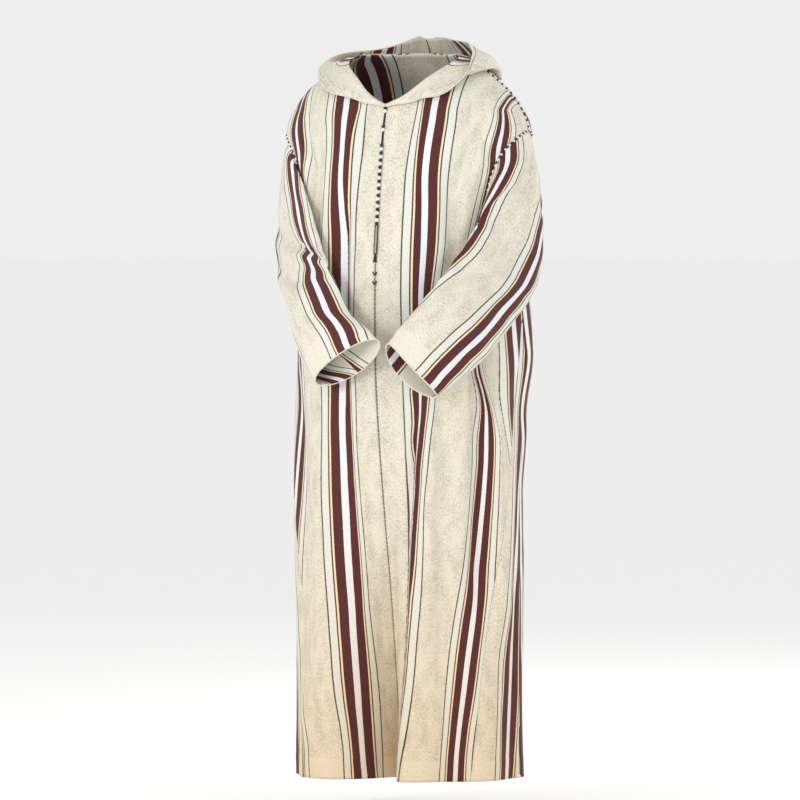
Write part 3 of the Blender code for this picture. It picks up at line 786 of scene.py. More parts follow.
# colour, how far from the middle of the group it starts
GROUP = (
    (WHITE, 0.0),
    (MAROON, 0.0065),
    (GOLD, 0.0245),
    (PIN, 0.0281),
    (WHITE_BAND, 0.0309),
    (PIN, 0.0448),
    (CREAM, 0.0474),
)
THREAD = 0.0014


def woven_cloth(name):
    """The striped cloth, read from the UV that says where on the cloth each point is."""
    cloth = Finish(name, 0.88, Sheen_Weight=0.06, Sheen_Roughness=0.6)
    uv = cloth.node("ShaderNodeUVMap", {"uv_map": "cloth"})[0]
    across, along, _ = cloth.node("ShaderNodeSeparateXYZ", None, {0: uv})
    stretched = cloth.node("ShaderNodeMapping", None, {"Vector": uv, "Scale": (1.0, 0.5, 1.0)})[0]
    edge_wander = (cloth.noise(uv, 420.0, 1.0) - 0.5) * 0.0009
    place = (across + edge_wander - GROUP_MIDDLE).there_and_back(HALF_REPEAT) / HALF_REPEAT
    stops = [(start / HALF_REPEAT, colour) for colour, start in GROUP]
    stripes = cloth.node("ShaderNodeValToRGB", {"stops": stops}, {0: place})[0]
    plain = place.above(GROUP[-1][1] / HALF_REPEAT)
    hem = along.above(HEM_DROP - HEM_BAND)
    fleck = cloth.noise(stretched, 430.0, 3.0, 0.62)
    cloud = cloth.noise(stretched, 42.0, 3.0, 0.6)
    grey = ((fleck - 0.43) * 3.4 + (cloud - 0.5) * 1.9) * (1 - hem * 0.86)
    share = cloth.node("ShaderNodeClamp", None, {0: grey})[0]
    heather = cloth.mix(share * plain * 0.7, stripes, GREY_FLECK)
    in_robe = cloth.node("ShaderNodeTexCoord")[3]
    drop = cloth.node("ShaderNodeSeparateXYZ", None, {0: in_robe})[2] * -1
    # Slow noise gives the cloth's own uneven tone; the tint that grows with the drop towards the hem
    # is painted warm light.
    tone_and_warm_light = cloth.noise(stretched, 9.0, 2.0) * 0.12 + drop * drop * drop * 0.27
    with_tone_and_warm_light = cloth.mix(tone_and_warm_light, heather, WARM_TONE_AND_LIGHT, "MULTIPLY")
    depth = cloth.noise(stretched, 640.0, 2.0)
    from_to = {0: depth, 1: 0.3, 2: 0.7, 3: 0.86, 4: 1.08}
    threads = cloth.node("ShaderNodeMapRange", None, from_to)[0]
    scaled = {0: with_tone_and_warm_light, "Scale": threads}
    cloth.feed("Base Color", cloth.node("ShaderNodeVectorMath", {"operation": "SCALE"}, scaled)[0])
    weave = across.wave(THREAD) * along.wave(THREAD)
    slubs = cloth.noise(stretched, 520.0, 2.0)
    cloth.bump(weave * 0.35 + slubs, 0.0005, 0.45)
    cloth.feed("Roughness", 0.95 - depth * 0.2)
    return cloth.material


striped = woven_cloth("striped_cloth")
print("stripe repeat in mm:", REPEAT * 1000)

# %% [markdown]
# ## Front, back and gores
# Each panel is a stack of rows. Through the yoke a row climbs to the shoulder, beside the
# armhole it ends on the armhole's curve, and below it runs level round to the side. Rows
# are close together where a turned hem starts, so that the step of its edge shows.

# %% Rows of a panel
PANEL_COLUMNS = 96
BACK_COLUMNS = 170
GORE_COLUMNS = 26
YOKE_ROWS = 30
ARMHOLE_ROWS = 42
SKIRT_ROWS = 165
FINE_STEPS = 360
VENT_OPENS = 2.2


def even_places(points, count, trim):
    """Evenly spaced places along a dense line of points, a little in from its ends."""
    run = length_along(points)
    wanted = trim + (run[-1] - 2 * trim) * np.linspace(0, 1, count)
    return np.interp(wanted, run, np.linspace(0, 1, len(points)))


def gore_front(drop):
    return np.where(drop < GORE_TOP, SHOULDER_SEAM, curve(GORE_SEAM, 1, drop))


def vent_turn(drop):
    """Degrees that the vent's back edge stands open at a drop."""
    return VENT_OPENS * float(step((drop - VENT_TOP) / (HEM_DROP - VENT_TOP)))


def skirt_drops():
    band = HEM_DROP - HEM_BAND
    upper = np.linspace(ARMHOLE_BOTTOM, band - 0.001, SKIRT_ROWS)
    upper[np.argmin(np.abs(upper - GORE_TOP))] = GORE_TOP
    turned_hem = np.linspace(band + 0.008, HEM_DROP, 6)
    return [*upper[1:], band + 0.0005, band + 0.002, *turned_hem]


def level_row(start, end, middle_drop, edge_drop, both_ways):
    """A row between two angles, whose drop changes towards its ends or its far end."""

    def row(across):
        out = 2 * across - 1 if both_ways else across
        return start + (end - start) * across, middle_drop + (edge_drop - middle_drop) * out**2

    return row


def neck_row(start, end, v, both_ways):
    """A row of the yoke, v of the way from the neckline to the widest place."""

    def row(across):
        out = 2 * across - 1 if both_ways else across
        angle = start + (end - start) * across
        below = YOKE_DROP + (ARMHOLE_TOP - YOKE_DROP) * out**2
        return angle, neck_drop(angle) * (1 - v) + below * v

    return row


def panel_rows(start, end_at, both_ways):
    """All rows of a front or back; end_at gives its end angle for a turn off the side."""
    down_yoke = np.linspace(0, 1, YOKE_ROWS + 1)
    rows = [neck_row(start(0.0), end_at(0.0), v, both_ways) for v in down_yoke]
    middle = (ARMHOLE_TOP + ARMHOLE_BOTTOM) / 2
    half = (ARMHOLE_BOTTOM - ARMHOLE_TOP) / 2
    for w in np.linspace(0, 1, ARMHOLE_ROWS + 1)[1:]:
        swing = math.pi * (0.5 - w)
        inset = math.cos(swing)
        middle_drop = YOKE_DROP + (ARMHOLE_BOTTOM - YOKE_DROP) * w
        edge_drop = middle - half * math.sin(swing)
        rows.append(level_row(start(inset), end_at(inset), middle_drop, edge_drop, both_ways))
    return rows


def drape_panel(name, rows, columns, across_cloth, stands_for):
    """Drapes one panel row by row, and keeps its place on the cloth."""
    fine = np.linspace(0, 1, FINE_STEPS + 1)
    points = []
    cloth = []
    for row in rows:
        angle, drop = row(fine)
        places = even_places(body_point(angle, drop), columns + 1, SEAM_GAP / 2)
        angle, drop = row(places)
        points.append(body_point(angle, drop))
        cloth.append(np.stack([across_cloth(angle, drop), drop], axis=-1))
    return cloth_sheet(name, np.array(points), np.array(cloth), striped, stands_for)


def armhole_end(side):
    return lambda inset: side * (SHOULDER_SEAM - ARMHOLE_FRONT * inset)


print("rows of the skirt:", len(skirt_drops()))

# %% [markdown]
# ## Draping the fronts
# The two fronts start at the centre seam and end at the armhole and the gore. They share
# their rows, and only the side that they turn to differs.

# %% Front panels
for side, word in ((1, "left"), (-1, "right")):
    rows = panel_rows(lambda inset: 0.0, armhole_end(side), both_ways=False)
    for drop in skirt_drops():
        rows.append(level_row(0.0, side * float(gore_front(drop)), drop, drop, False))
    drape_panel(
        f"front_{word}_cloth",
        rows,
        PANEL_COLUMNS,
        lambda angle, drop, side=side: across_front(side, angle, drop),
        (f"front_{word}",),
    )
print("corners in a front:", len(rows) * (PANEL_COLUMNS + 1))

# %% [markdown]
# ## Draping the back
# The back is one panel from side to side, so its rows fall off towards both ends. Its edges
# swing back a little at the hem, where the side vents stand open.

# %% Back panel
rows = panel_rows(
    lambda inset: SHOULDER_SEAM + ARMHOLE_BACK * inset,
    lambda inset: 360.0 - SHOULDER_SEAM - ARMHOLE_BACK * inset,
    both_ways=True,
)
for drop in skirt_drops():
    edge = SHOULDER_SEAM + vent_turn(drop)
    rows.append(level_row(edge, 360.0 - edge, drop, drop, True))
drape_panel("back_cloth", rows, BACK_COLUMNS, across_back, ("back",))
print("corners in the back:", len(rows) * (BACK_COLUMNS + 1))

# %% [markdown]
# ## Draping the gores
# A gore is a wedge that widens the skirt. It starts in a point below the armhole, so its
# first rows are very short.

# %% Gores
for side, word in ((1, "left"), (-1, "right")):
    rows = [
        level_row(side * float(gore_front(drop)), side * SHOULDER_SEAM, drop, drop, False)
        for drop in skirt_drops()
        if drop >= GORE_TOP
    ]
    drape_panel(
        f"gore_{word}_cloth",
        rows,
        GORE_COLUMNS,
        lambda angle, drop, side=side: across_gore(side, angle, drop),
        (f"gore_{word}",),
    )
print("rows in a gore:", len(rows))

# %% [markdown]
# ## Sleeves
# A sleeve is one straight piece of cloth, closed on its inner side. Four rails give its front,
# outer, back and inner edges from the armhole to the cuff, and each ring of the tube is
# drawn through them. Bending it packs cloth inside the elbow, so the creases crowd
# there and slant, and the forearm stays smooth.

# %% Rails
# x, y, z of the front, outer, back and inner edges, from the armhole to the cuff
LEFT_RAILS = (
    (0.197, -0.112, -0.272, 0.261, 0.004, -0.235, 0.216, 0.078, -0.325, 0.213, 0.004, -0.428),
    (0.187, -0.136, -0.318, 0.264, -0.002, -0.322, 0.228, 0.076, -0.382, 0.216, -0.008, -0.437),
    (0.179, -0.163, -0.357, 0.259, -0.025, -0.400, 0.236, 0.044, -0.437, 0.215, -0.036, -0.447),
    (0.160, -0.193, -0.398, 0.250, -0.088, -0.452, 0.238, -0.014, -0.482, 0.201, -0.094, -0.455),
    (0.140, -0.218, -0.434, 0.222, -0.172, -0.479, 0.226, -0.080, -0.533, 0.174, -0.142, -0.485),
    (0.116, -0.241, -0.472, 0.198, -0.226, -0.521, 0.203, -0.150, -0.587, 0.144, -0.184, -0.531),
    (0.086, -0.262, -0.512, 0.160, -0.268, -0.560, 0.176, -0.203, -0.624, 0.108, -0.211, -0.574),
    (0.056, -0.283, -0.556, 0.112, -0.302, -0.598, 0.146, -0.254, -0.656, 0.070, -0.243, -0.622),
)
RIGHT_RAILS = (
    (-0.177, -0.112, -0.255, -0.267, 0.002, -0.232, -0.217, 0.077, -0.325, -0.213, 0.004, -0.428),
    (-0.147, -0.153, -0.303, -0.276, -0.004, -0.322, -0.234, 0.074, -0.384, -0.216, -0.010, -0.437),
    (-0.116, -0.188, -0.362, -0.265, -0.032, -0.402, -0.236, 0.036, -0.440, -0.212, -0.046, -0.448),
    (-0.092, -0.207, -0.410, -0.230, -0.112, -0.440, -0.214, -0.034, -0.470, -0.186, -0.122, -0.456),
    (-0.062, -0.227, -0.455, -0.183, -0.196, -0.466, -0.192, -0.092, -0.518, -0.152, -0.168, -0.492),
    (-0.030, -0.247, -0.500, -0.138, -0.242, -0.510, -0.176, -0.136, -0.562, -0.116, -0.198, -0.540),
    (0.004, -0.262, -0.523, -0.094, -0.268, -0.540, -0.145, -0.182, -0.607, -0.068, -0.212, -0.576),
    (0.036, -0.274, -0.550, -0.046, -0.274, -0.577, -0.109, -0.224, -0.634, -0.024, -0.224, -0.612),
)
print(len(LEFT_RAILS), "stations down each sleeve")

# %% [markdown]
# ## Creases and stripes of the sleeves
# Each crease is a short slanted dent with its own length, width and depth. The stripes run
# along the sleeve and turn slowly round it, and a deep crease hides a little cloth, so the
# stripes jump sideways where they cross it.

# %% Creases, bands and tucks
# place along (0 armhole, 1 cuff), degrees round, slant in degrees, length, width, depth
LEFT_CREASES = (
    (0.30, 40, 160, 0.07, 12, -0.006),
    (0.40, 70, 190, 0.06, 11, -0.007),
    (0.48, 30, 120, 0.05, 13, -0.005),
    (0.55, 110, -60, 0.09, 14, -0.006),
    (0.70, 80, 30, 0.12, 13, -0.004),
    (0.22, 120, 60, 0.08, 16, -0.005),
    (0.45, 230, 120, 0.07, 15, -0.006),
    (0.24, 20, -500, 0.05, 12, -0.0060),
    (0.34, 20, 240, 0.035, 9, -0.0045),
    (0.44, 55, 260, 0.035, 8, -0.0045),
    (0.50, 15, 200, 0.030, 8, -0.0035),
    (0.14, 70, -90, 0.05, 8, -0.0030),
    (0.16, 105, 60, 0.05, 9, -0.0030),
    (0.62, 40, 90, 0.05, 9, -0.0025),
    (0.80, 60, 60, 0.07, 9, -0.0020),
    (0.86, 120, -50, 0.06, 10, -0.0020),
)
RIGHT_CREASES = (
    (0.34, 50, -170, 0.06, 12, -0.006),
    (0.44, 90, -190, 0.06, 11, -0.007),
    (0.52, 60, -120, 0.06, 13, -0.005),
    (0.60, 120, 50, 0.09, 13, -0.006),
    (0.74, 70, 20, 0.11, 14, -0.004),
    (0.20, 110, -60, 0.08, 16, -0.005),
    (0.46, 240, -120, 0.07, 15, -0.006),
    (0.385, 45, -409, 0.11, 8, -0.0100),
    (0.412, 45, -409, 0.11, 10, 0.0050),
    (0.47, 50, -260, 0.035, 8, -0.0050),
    (0.55, 20, -180, 0.030, 8, -0.0035),
    (0.14, 75, 90, 0.05, 8, -0.0030),
    (0.24, 40, -120, 0.05, 9, -0.0030),
    (0.66, 45, -90, 0.05, 9, -0.0025),
    (0.83, 110, 60, 0.07, 10, -0.0020),
)
# place along, where the cream band's first edge lies, in metres round from the front edge
LEFT_BAND = (
    (0.0, 0.160),
    (0.06, 0.128),
    (0.125, 0.098),
    (0.25, 0.058),
    (0.375, 0.044),
    (0.5, 0.028),
    (0.625, 0.014),
    (0.75, 0.004),
    (1.0, 0.000),
)
RIGHT_BAND = (
    (0.0, 0.062),
    (0.06, 0.048),
    (0.125, 0.041),
    (0.25, 0.045),
    (0.375, 0.048),
    (0.5, 0.048),
    (0.625, 0.045),
    (0.875, 0.055),
    (1.0, 0.0675),
)
# Folds that hide some cloth and so shift the stripes: place along, degrees round, slant, shift
LEFT_TUCK = (0.24, 20, -500, 0.006)
RIGHT_TUCK = (0.385, 45, -409, 0.018)
print(len(LEFT_CREASES), "creases on the left and", len(RIGHT_CREASES), "on the right")

# %% [markdown]
# ## Rings of a sleeve
# The tube is worked out ring by ring. It starts on the armhole, follows the rails, gets its
# creases along its own normals, and is held just clear of the body where it rests on it.

# %% Rings of a sleeve
SLEEVE_SIDES = 128
SLEEVE_ROWS = 170
SLEEVE_CLEARANCE = 0.008
SLEEVE_SEAM = -90.0


def armhole_point(side, swing, inset):
    """A point of the armhole, drawn in from its edge by an inset."""
    middle = (ARMHOLE_TOP + ARMHOLE_BOTTOM) / 2
    half = (ARMHOLE_BOTTOM - ARMHOLE_TOP) / 2 - inset
    width = np.where(np.cos(swing) > 0, ARMHOLE_FRONT, ARMHOLE_BACK) - math.degrees(inset / 0.2)
    angle = side * (SHOULDER_SEAM - width * np.cos(swing))
    return body_point(angle, middle - half * np.sin(swing))


def crease_depth(creases, rows, swing):
    """Adds up the creases over a sleeve's rings."""
    place = np.linspace(0, 1, rows)[:, None]
    total = np.zeros((rows, len(swing)))
    for centre, around, slant, length, width, depth in creases:
        away = wrap(np.degrees(swing)[None, :] - around - slant * (place - centre))
        total += depth * np.exp(-0.5 * (away / width) ** 2 - 0.5 * ((place - centre) / length) ** 2)
    turn = swing[None, :]
    total += 0.0007 * np.sin(7 * turn + 21 * place) * np.cos(3 * turn - 34 * place)
    total += 0.0005 * np.sin(11 * turn - 47 * place)
    return total * step(place / 0.10) * step((1 - place) / 0.06)


def rest_on_body(rings, first):
    """Holds a sleeve's rings just clear of the body, on which the sleeve rests."""
    angle = np.degrees(np.arctan2(rings[..., 0], -rings[..., 1]))
    body = np.linalg.norm(body_point(angle, -rings[..., 2])[..., :2], axis=-1)
    radius = np.linalg.norm(rings[..., :2], axis=-1)
    clear = SLEEVE_CLEARANCE * step(np.linspace(0, 1, len(rings)) / 0.08)[:, None]
    short = np.maximum(body + clear - radius, 0.0)
    rings[..., :2] *= (1 + short / radius)[..., None]
    rings[0] = first
    return rings


def sleeve_rings(side, rails, creases):
    """Points of a sleeve's outer face, ring by ring, each ring closed on itself."""
    swing = np.radians(np.linspace(SLEEVE_SEAM, SLEEVE_SEAM + 360.0, SLEEVE_SIDES, endpoint=False))
    first = armhole_point(side, swing, 1.5 * SEAM_GAP)
    corners = np.array([0, 0.5, 1.0, 1.5]) * math.pi
    stations = np.vstack([armhole_point(side, corners, 0.0).reshape(-1), np.array(rails)])
    table = np.column_stack([np.linspace(0, 1, len(stations)), stations])
    cosine = np.cos(swing)[:, None]
    sine = np.sin(swing)[:, None]
    rings = []
    for w in np.linspace(0, 1, SLEEVE_ROWS):
        edges = np.array([curve(table, c, w) for c in range(1, 13)])
        front, outer, back, inner = edges.reshape(4, 3)
        middle = (front + back) / 2
        ring = middle + (front - back) / 2 * cosine + (outer - inner) / 2 * sine
        rings.append(ring + ((outer + inner) / 2 - middle) * sine**2)
    rings = np.array(rings)
    fade = 1 - step(np.linspace(0, 1, SLEEVE_ROWS) / 0.16)
    rings += fade[:, None, None] * (first - rings[0])
    depth = crease_depth(creases, SLEEVE_ROWS, swing)[..., None]
    rings += depth * grid_normals(rings, closed=True) * side
    return rest_on_body(rings, first)


print("corners of a sleeve:", SLEEVE_SIDES * SLEEVE_ROWS)

# %% [markdown]
# ## Cloth of a sleeve
# The place on the cloth is measured round each ring from the front edge. Down the sleeve it
# is counted back from the cuff, so that the turned cuff lies where the weave expects a hem.

# %% Cloth of a sleeve


def tuck_shift(tuck, rows):
    """How far a tuck shifts the stripes above it, over a sleeve's closed rings."""
    centre, around, slant, shift = tuck
    turn = SLEEVE_SEAM + 360.0 * np.arange(SLEEVE_SIDES + 1)[None, :] / SLEEVE_SIDES
    line = centre + (turn - around) / slant
    above = step((line - np.linspace(0, 1, rows)[:, None]) / 0.016 + 0.5)
    return shift * above * np.exp(-(((turn - around) / 75.0) ** 2))


def sleeve_cloth(rings, band, start, tuck):
    """Places on the cloth: round the sleeve from its front edge, and down to the cuff."""
    closed = np.concatenate([rings, rings[:, :1]], axis=1)
    pieces_round = np.linalg.norm(np.diff(closed, axis=1), axis=-1)
    run = np.concatenate([np.zeros((len(rings), 1)), np.cumsum(pieces_round, axis=1)], axis=1)
    front_edge = int(round(-SLEEVE_SEAM / 360.0 * SLEEVE_SIDES))
    place = np.linspace(0, 1, len(rings))
    across = start + run - run[:, front_edge : front_edge + 1] - curve(band, 1, place)[:, None]
    across -= tuck_shift(tuck, len(rings))
    steps_down = np.linalg.norm(np.diff(rings.mean(axis=1), axis=0), axis=1)
    to_cuff = steps_down.sum() - np.concatenate([[0.0], np.cumsum(steps_down)])
    along = HEM_DROP - to_cuff * HEM_BAND / CUFF_BAND
    return closed, np.stack([across, along[:, None] + 0 * across], axis=-1)


sleeves = {}
for side, word, rails, creases, band, start, tuck in (
    (1, "left", LEFT_RAILS, LEFT_CREASES, LEFT_BAND, MARKS[3], LEFT_TUCK),
    (-1, "right", RIGHT_RAILS, RIGHT_CREASES, RIGHT_BAND, GROUP_MIDDLE, RIGHT_TUCK),
):
    rings = sleeve_rings(side, rails, creases)
    points, cloth = sleeve_cloth(rings, band, start, tuck)
    name = f"sleeve_{word}_cloth"
    cloth_sheet(name, points, cloth, striped, (f"sleeve_{word}",), outward=side)
    sleeves[word] = rings
    around = np.linalg.norm(np.diff(points[-1], axis=0), axis=1).sum()
    print(name, "measures", round(float(around), 3), "m round its cuff")

# %% [markdown]
# ## Hood
# Worn down, the hood lies as a wide collar in front, folds back over the shoulders, and
# hangs as a pointed bag behind. At each angle round the neck its cloth runs out from the
# neckline, turns in a fold and comes back to the free edge. The same profile with more
# columns and rows gives the soft sheet, with a few shallow dents where the cloth buckles.

# %% Hood
# degrees from the centre front, how far out the edge lies, the sag beyond it, the edge's lift
HOOD = (
    (-180, 0.000, 0.310, 0.042),
    (-165, 0.004, 0.240, 0.042),
    (-145, 0.014, 0.140, 0.036),
    (-122, 0.034, 0.072, 0.031),
    (-100, 0.050, 0.038, 0.026),
    (-82, 0.060, 0.022, 0.021),
    (-66, 0.064, 0.012, 0.016),
    (-48, 0.060, 0.008, 0.012),
    (-25, 0.030, 0.005, 0.008),
    (0, 0.006, 0.002, 0.006),
    (26, 0.032, 0.005, 0.008),
    (44, 0.056, 0.009, 0.011),
    (58, 0.052, 0.020, 0.016),
    (74, 0.032, 0.042, 0.020),
    (92, 0.016, 0.064, 0.024),
    (112, 0.008, 0.088, 0.029),
    (135, 0.004, 0.130, 0.035),
    (160, 0.002, 0.220, 0.041),
    (180, 0.000, 0.310, 0.042),
)
HOOD_SEAT = 0.0027
HOOD_CLEARANCE = 0.0065
HOOD_SEAT_SHARE = 0.14
HOOD_FRONT_GAP = 1.2
HOOD_TURN = 0.30
HOOD_TURN_PLACE = 72.0
HOOD_CROWDING = 15.0
HOOD_TIP = 0.10
HOOD_PULL_LIMIT = 0.96
HOOD_FLARE = 0.35
HOOD_COLUMNS = 260
HOOD_HALF_ROWS = 30
# degrees from the centre front, distance across the cloth at the neckline
HOOD_CLOTH_IN = (
    (0, 0.146),
    (30, 0.186),
    (58, 0.2325),
    (78, 0.280),
    (104, 0.335),
    (140, 0.435),
    (180, 0.555),
)
# the same at the free edge
HOOD_CLOTH_OUT = (
    (0, 0.146),
    (30, 0.160),
    (60, 0.173),
    (90, 0.196),
    (115, 0.2325),
    (150, 0.335),
    (180, 0.420),
)
# degrees from the centre front, place from neckline to edge, widths of both, height
HOOD_DENTS = (
    (34, 0.55, 5, 0.25, -0.0030),
    (52, 0.45, 4, 0.22, 0.0025),
    (-32, 0.60, 5, 0.25, -0.0030),
    (-55, 0.50, 5, 0.22, 0.0030),
    (-80, 0.40, 6, 0.20, -0.0035),
    (96, 0.72, 7, 0.12, 0.0040),
    (122, 0.78, 6, 0.12, -0.0035),
    (150, 0.72, 5, 0.16, 0.0050),
    (171, 0.75, 4, 0.18, -0.0050),
    (-128, 0.74, 6, 0.14, 0.0040),
    (-152, 0.70, 5, 0.16, -0.0050),
    (-170, 0.80, 4, 0.16, 0.0040),
)
DENT_LIMIT = 0.004
print("the bag of the hood reaches", max(row[2] for row in HOOD), "m down")

# %% [markdown]
# ## The hood's profile
# At one angle the hood's cloth is a line: it goes out over the shoulder, sags, folds and
# comes back. Rows are spaced evenly on both sides of the fold, so that the fold stays crisp
# all the way round.

# %% Profile of the hood


def drop_beyond_neck(angle, distance):
    """The drop that lies a distance down the cloth from the neckline, at one angle."""
    drops = neck_drop(angle) + np.linspace(0, 0.5, 160)
    line = body_point(angle, drops)
    return np.interp(distance, length_along(line), drops)


def hood_profile(angle, t):
    """Points of the hood's inner face at one angle, out from the neckline and back."""
    out, sag, lift = (float(curve(HOOD, c, wrap(angle))) for c in (1, 2, 3))
    turned = step((t - HOOD_TURN) / (1 - 2 * HOOD_TURN))
    distance = out * t + sag * (1 - np.sqrt((2 * t - 1) ** 2 + HOOD_TIP**2)) / (1 - HOOD_TIP)
    clear = HOOD_SEAT + (HOOD_CLEARANCE - HOOD_SEAT) * step(t / HOOD_SEAT_SHARE)
    height = clear + (lift - clear) * (turned * (1 - HOOD_FLARE) + HOOD_FLARE * t**2)
    drop = drop_beyond_neck(angle, distance)
    return body_point(angle, drop) + body_normal(angle, drop) * height[:, None]


def hood_fold_place(angle):
    """The place along the hood's profile where its cloth folds back."""
    out, sag = (float(curve(HOOD, c, wrap(angle))) for c in (1, 2))
    pull = min(out * (1 - HOOD_TIP) / (2 * sag), HOOD_PULL_LIMIT)
    return 0.5 + 0.5 * HOOD_TIP * pull / math.sqrt(1 - pull**2)


def hood_angles(count):
    """Angles round the neck, closest together over the shoulders, where the hood turns."""
    even = np.linspace(0, 360, count)
    crowding = np.sin(np.radians(2 * (even - HOOD_TURN_PLACE)))
    turns = even - HOOD_CROWDING * (crowding - crowding[0])
    return HOOD_FRONT_GAP + turns * (1 - 2 * HOOD_FRONT_GAP / 360.0)


def hood_grid(angles):
    """The hood's profiles, with rows evenly spaced on each side of its fold."""
    grid = []
    for angle in angles:
        fold = hood_fold_place(angle)
        places = []
        for start, end in ((0.0, fold), (fold, 1.0)):
            fine = np.linspace(start, end, 160)
            even = even_places(hood_profile(angle, fine), HOOD_HALF_ROWS + 1, 0.0)
            places.append(start + (end - start) * even)
        grid.append(hood_profile(angle, np.concatenate([places[0], places[1][1:]])))
    return np.array(grid).transpose(1, 0, 2)


print("the front of the hood folds at", round(hood_fold_place(20.0), 2), "of its cloth")

# %% [markdown]
# ## The hood's cloth
# The profiles are joined into one sheet. Dents along its normals make it soft, and its
# stripes change their spacing from the neckline to the free edge, as bias-cut cloth does.

# %% Cloth of the hood
angles = hood_angles(HOOD_COLUMNS + 1)
inner = hood_grid(angles)
share = np.linspace(0, 1, len(inner))[:, None]
dents = np.zeros(inner.shape[:2])
for around, place, wide, long, height in HOOD_DENTS:
    away = wrap(angles - around)[None, :] / wide
    dents += height * np.exp(-0.5 * (away**2 + ((share - place) / long) ** 2))
outward = -grid_normals(inner, closed=False)
dents *= step(share / 0.3)
hood_points = inner + outward * (CLOTH + np.maximum(dents, -DENT_LIMIT))[..., None]
down_hood = np.linalg.norm(np.diff(hood_points, axis=0), axis=-1)
run = np.concatenate([np.zeros((1, len(angles))), np.cumsum(down_hood, axis=0)])
turned_out = step((share - 0.08) / 0.42)
hood_across = curve(HOOD_CLOTH_IN, 1, np.abs(wrap(angles)))[None, :] * (1 - turned_out)
hood_across = hood_across + curve(HOOD_CLOTH_OUT, 1, np.abs(wrap(angles)))[None, :] * turned_out
hood_cloth = np.stack([hood_across, 0.4 + run], axis=-1)
cloth_sheet("hood_cloth", hood_points, hood_cloth, striped, ("hood",), outward=-1)

# %% [markdown]
# ## Edgings and cords
# Cuffs, hem and hood are finished with a thin rolled edge, and the seams carry cords. A
# curve with a round bevel is the simplest way to lay one along a line of points. It is
# turned into a mesh at once.

# %% Thread finishes
THREAD_DARK = from_screen(58, 36, 34)
THREAD_PALE = from_screen(238, 232, 214)


def thread_finish(name, colour, shade):
    """Twisted thread: a fine slanting ribbing with painted shade in its grooves, and a random
    mottle.
    """
    thread = Finish(name, 0.75, Sheen_Weight=0.1)
    place = thread.node("ShaderNodeTexCoord")[3]
    x, y, z = thread.node("ShaderNodeSeparateXYZ", None, {0: place})
    ribs = (x + y + z * 1.6).wave(0.0016)
    mottle = thread.noise(place, 900.0, 2.0)
    # The rib wave mixes towards the darker colour as painted shade in the grooves; the mottle is the
    # thread's own uneven tone.
    thread.feed("Base Color", thread.mix(ribs * 0.25 + mottle * 0.5, colour, shade))
    thread.bump(ribs + mottle, 0.0003, 0.5)
    return thread.material


dark_thread = thread_finish("dark_thread", THREAD_DARK, from_screen(30, 18, 16))
pale_thread = thread_finish("pale_thread", THREAD_PALE, from_screen(206, 196, 168))
white_thread = thread_finish("white_thread", from_screen(250, 250, 248), from_screen(214, 212, 204))
brown_thread = thread_finish("brown_thread", from_screen(120, 104, 84), from_screen(86, 70, 52))


def cord_piece(name, lines, radius, finish, stands_for=(), closed=False):
    """A round cord along each of the given lines of points."""
    path = bpy.data.curves.new(name, "CURVE")
    path.dimensions = "3D"
    path.bevel_depth = radius
    path.bevel_resolution = 2
    path.use_fill_caps = True
    for line in lines:
        spline = path.splines.new("POLY")
        spline.points.add(len(line) - 1)
        for knot, point in zip(spline.points, line):
            knot.co = (*point, 1.0)
        spline.use_cyclic_u = closed
    holder = bpy.data.objects.new(name + "_path", path)
    mesh = bpy.data.meshes.new_from_object(holder)
    mesh.name = name
    bpy.data.objects.remove(holder)
    bpy.data.curves.remove(path)
    mesh.materials.clear()
    return finish_piece(name, mesh, finish, stands_for)


print("finishes for thread:", [m.name for m in bpy.data.materials if m.name.endswith("thread")])

# %% Rolled edges
RIM_RADIUS = 0.0014
RIM_OVERHANG = 0.0008
RIM_SEAM_ROW = -5
RIM_SEAM_RADIUS = 0.0005
CUFF_EDGE_RADIUS = 0.0012
rim = hood_points[-1] + unit(hood_points[-1] - hood_points[-2]) * RIM_OVERHANG
cord_piece("hood_rim", [rim], RIM_RADIUS, pale_thread, ("hood_edge",))
rim_seam = hood_points[RIM_SEAM_ROW] + outward[RIM_SEAM_ROW] * 0.0002
cord_piece("hood_rim_line", [rim_seam], RIM_SEAM_RADIUS, brown_thread)
for word, rings in sleeves.items():
    name = f"cuff_edge_{word}"
    cord_piece(name, [rings[-1]], CUFF_EDGE_RADIUS, pale_thread, closed=True)
print("the hood's rim is", round(float(length_along(rim)[-1]), 2), "m long")

# %% [markdown]
# ## Buttons, loops and the openwork seam
# A column of small knotted buttons, dark and pale in turn, closes the front from the neck.
# Two thin loops hang below it and end in a dark tassel, then the centre seam goes on as
# openwork: small stitches that bridge the two fronts like the rungs of a ladder. Each knot
# has few faces, because there are many.

# %% Lines on the seam
KNOT_RADIUS = 0.0036
PALE_KNOT_RADIUS = 0.0042
KNOTS_AT = (0.108, 0.1135, 0.1425, 0.1487, 0.1785, 0.1855)
KNOTS_FROM = 0.1935
KNOTS_TO = 0.328
KNOTS_RUN = 21
KNOT_SQUASH = (1.0, 0.8, 0.86)


def seam_line(drops, stand_off, sideways=0.0):
    """Points that stand off the centre front seam at given drops."""
    drops = np.array(drops, dtype=float)
    angle = np.zeros(len(drops))
    line = body_point(angle, drops) + body_normal(angle, drops) * stand_off
    line[:, 0] += sideways
    return line


def knots(name, places, radius, finish, stands_for=()):
    """Small knotted beads, slightly flattened, at the given points."""
    work = bmesh.new()
    for point in places:
        made = bmesh.ops.create_icosphere(work, subdivisions=2, radius=radius)["verts"]
        bmesh.ops.scale(work, verts=made, vec=KNOT_SQUASH)
        bmesh.ops.translate(work, verts=made, vec=point)
    mesh = bpy.data.meshes.new(name)
    work.to_mesh(mesh)
    work.free()
    return finish_piece(name, mesh, finish, stands_for)


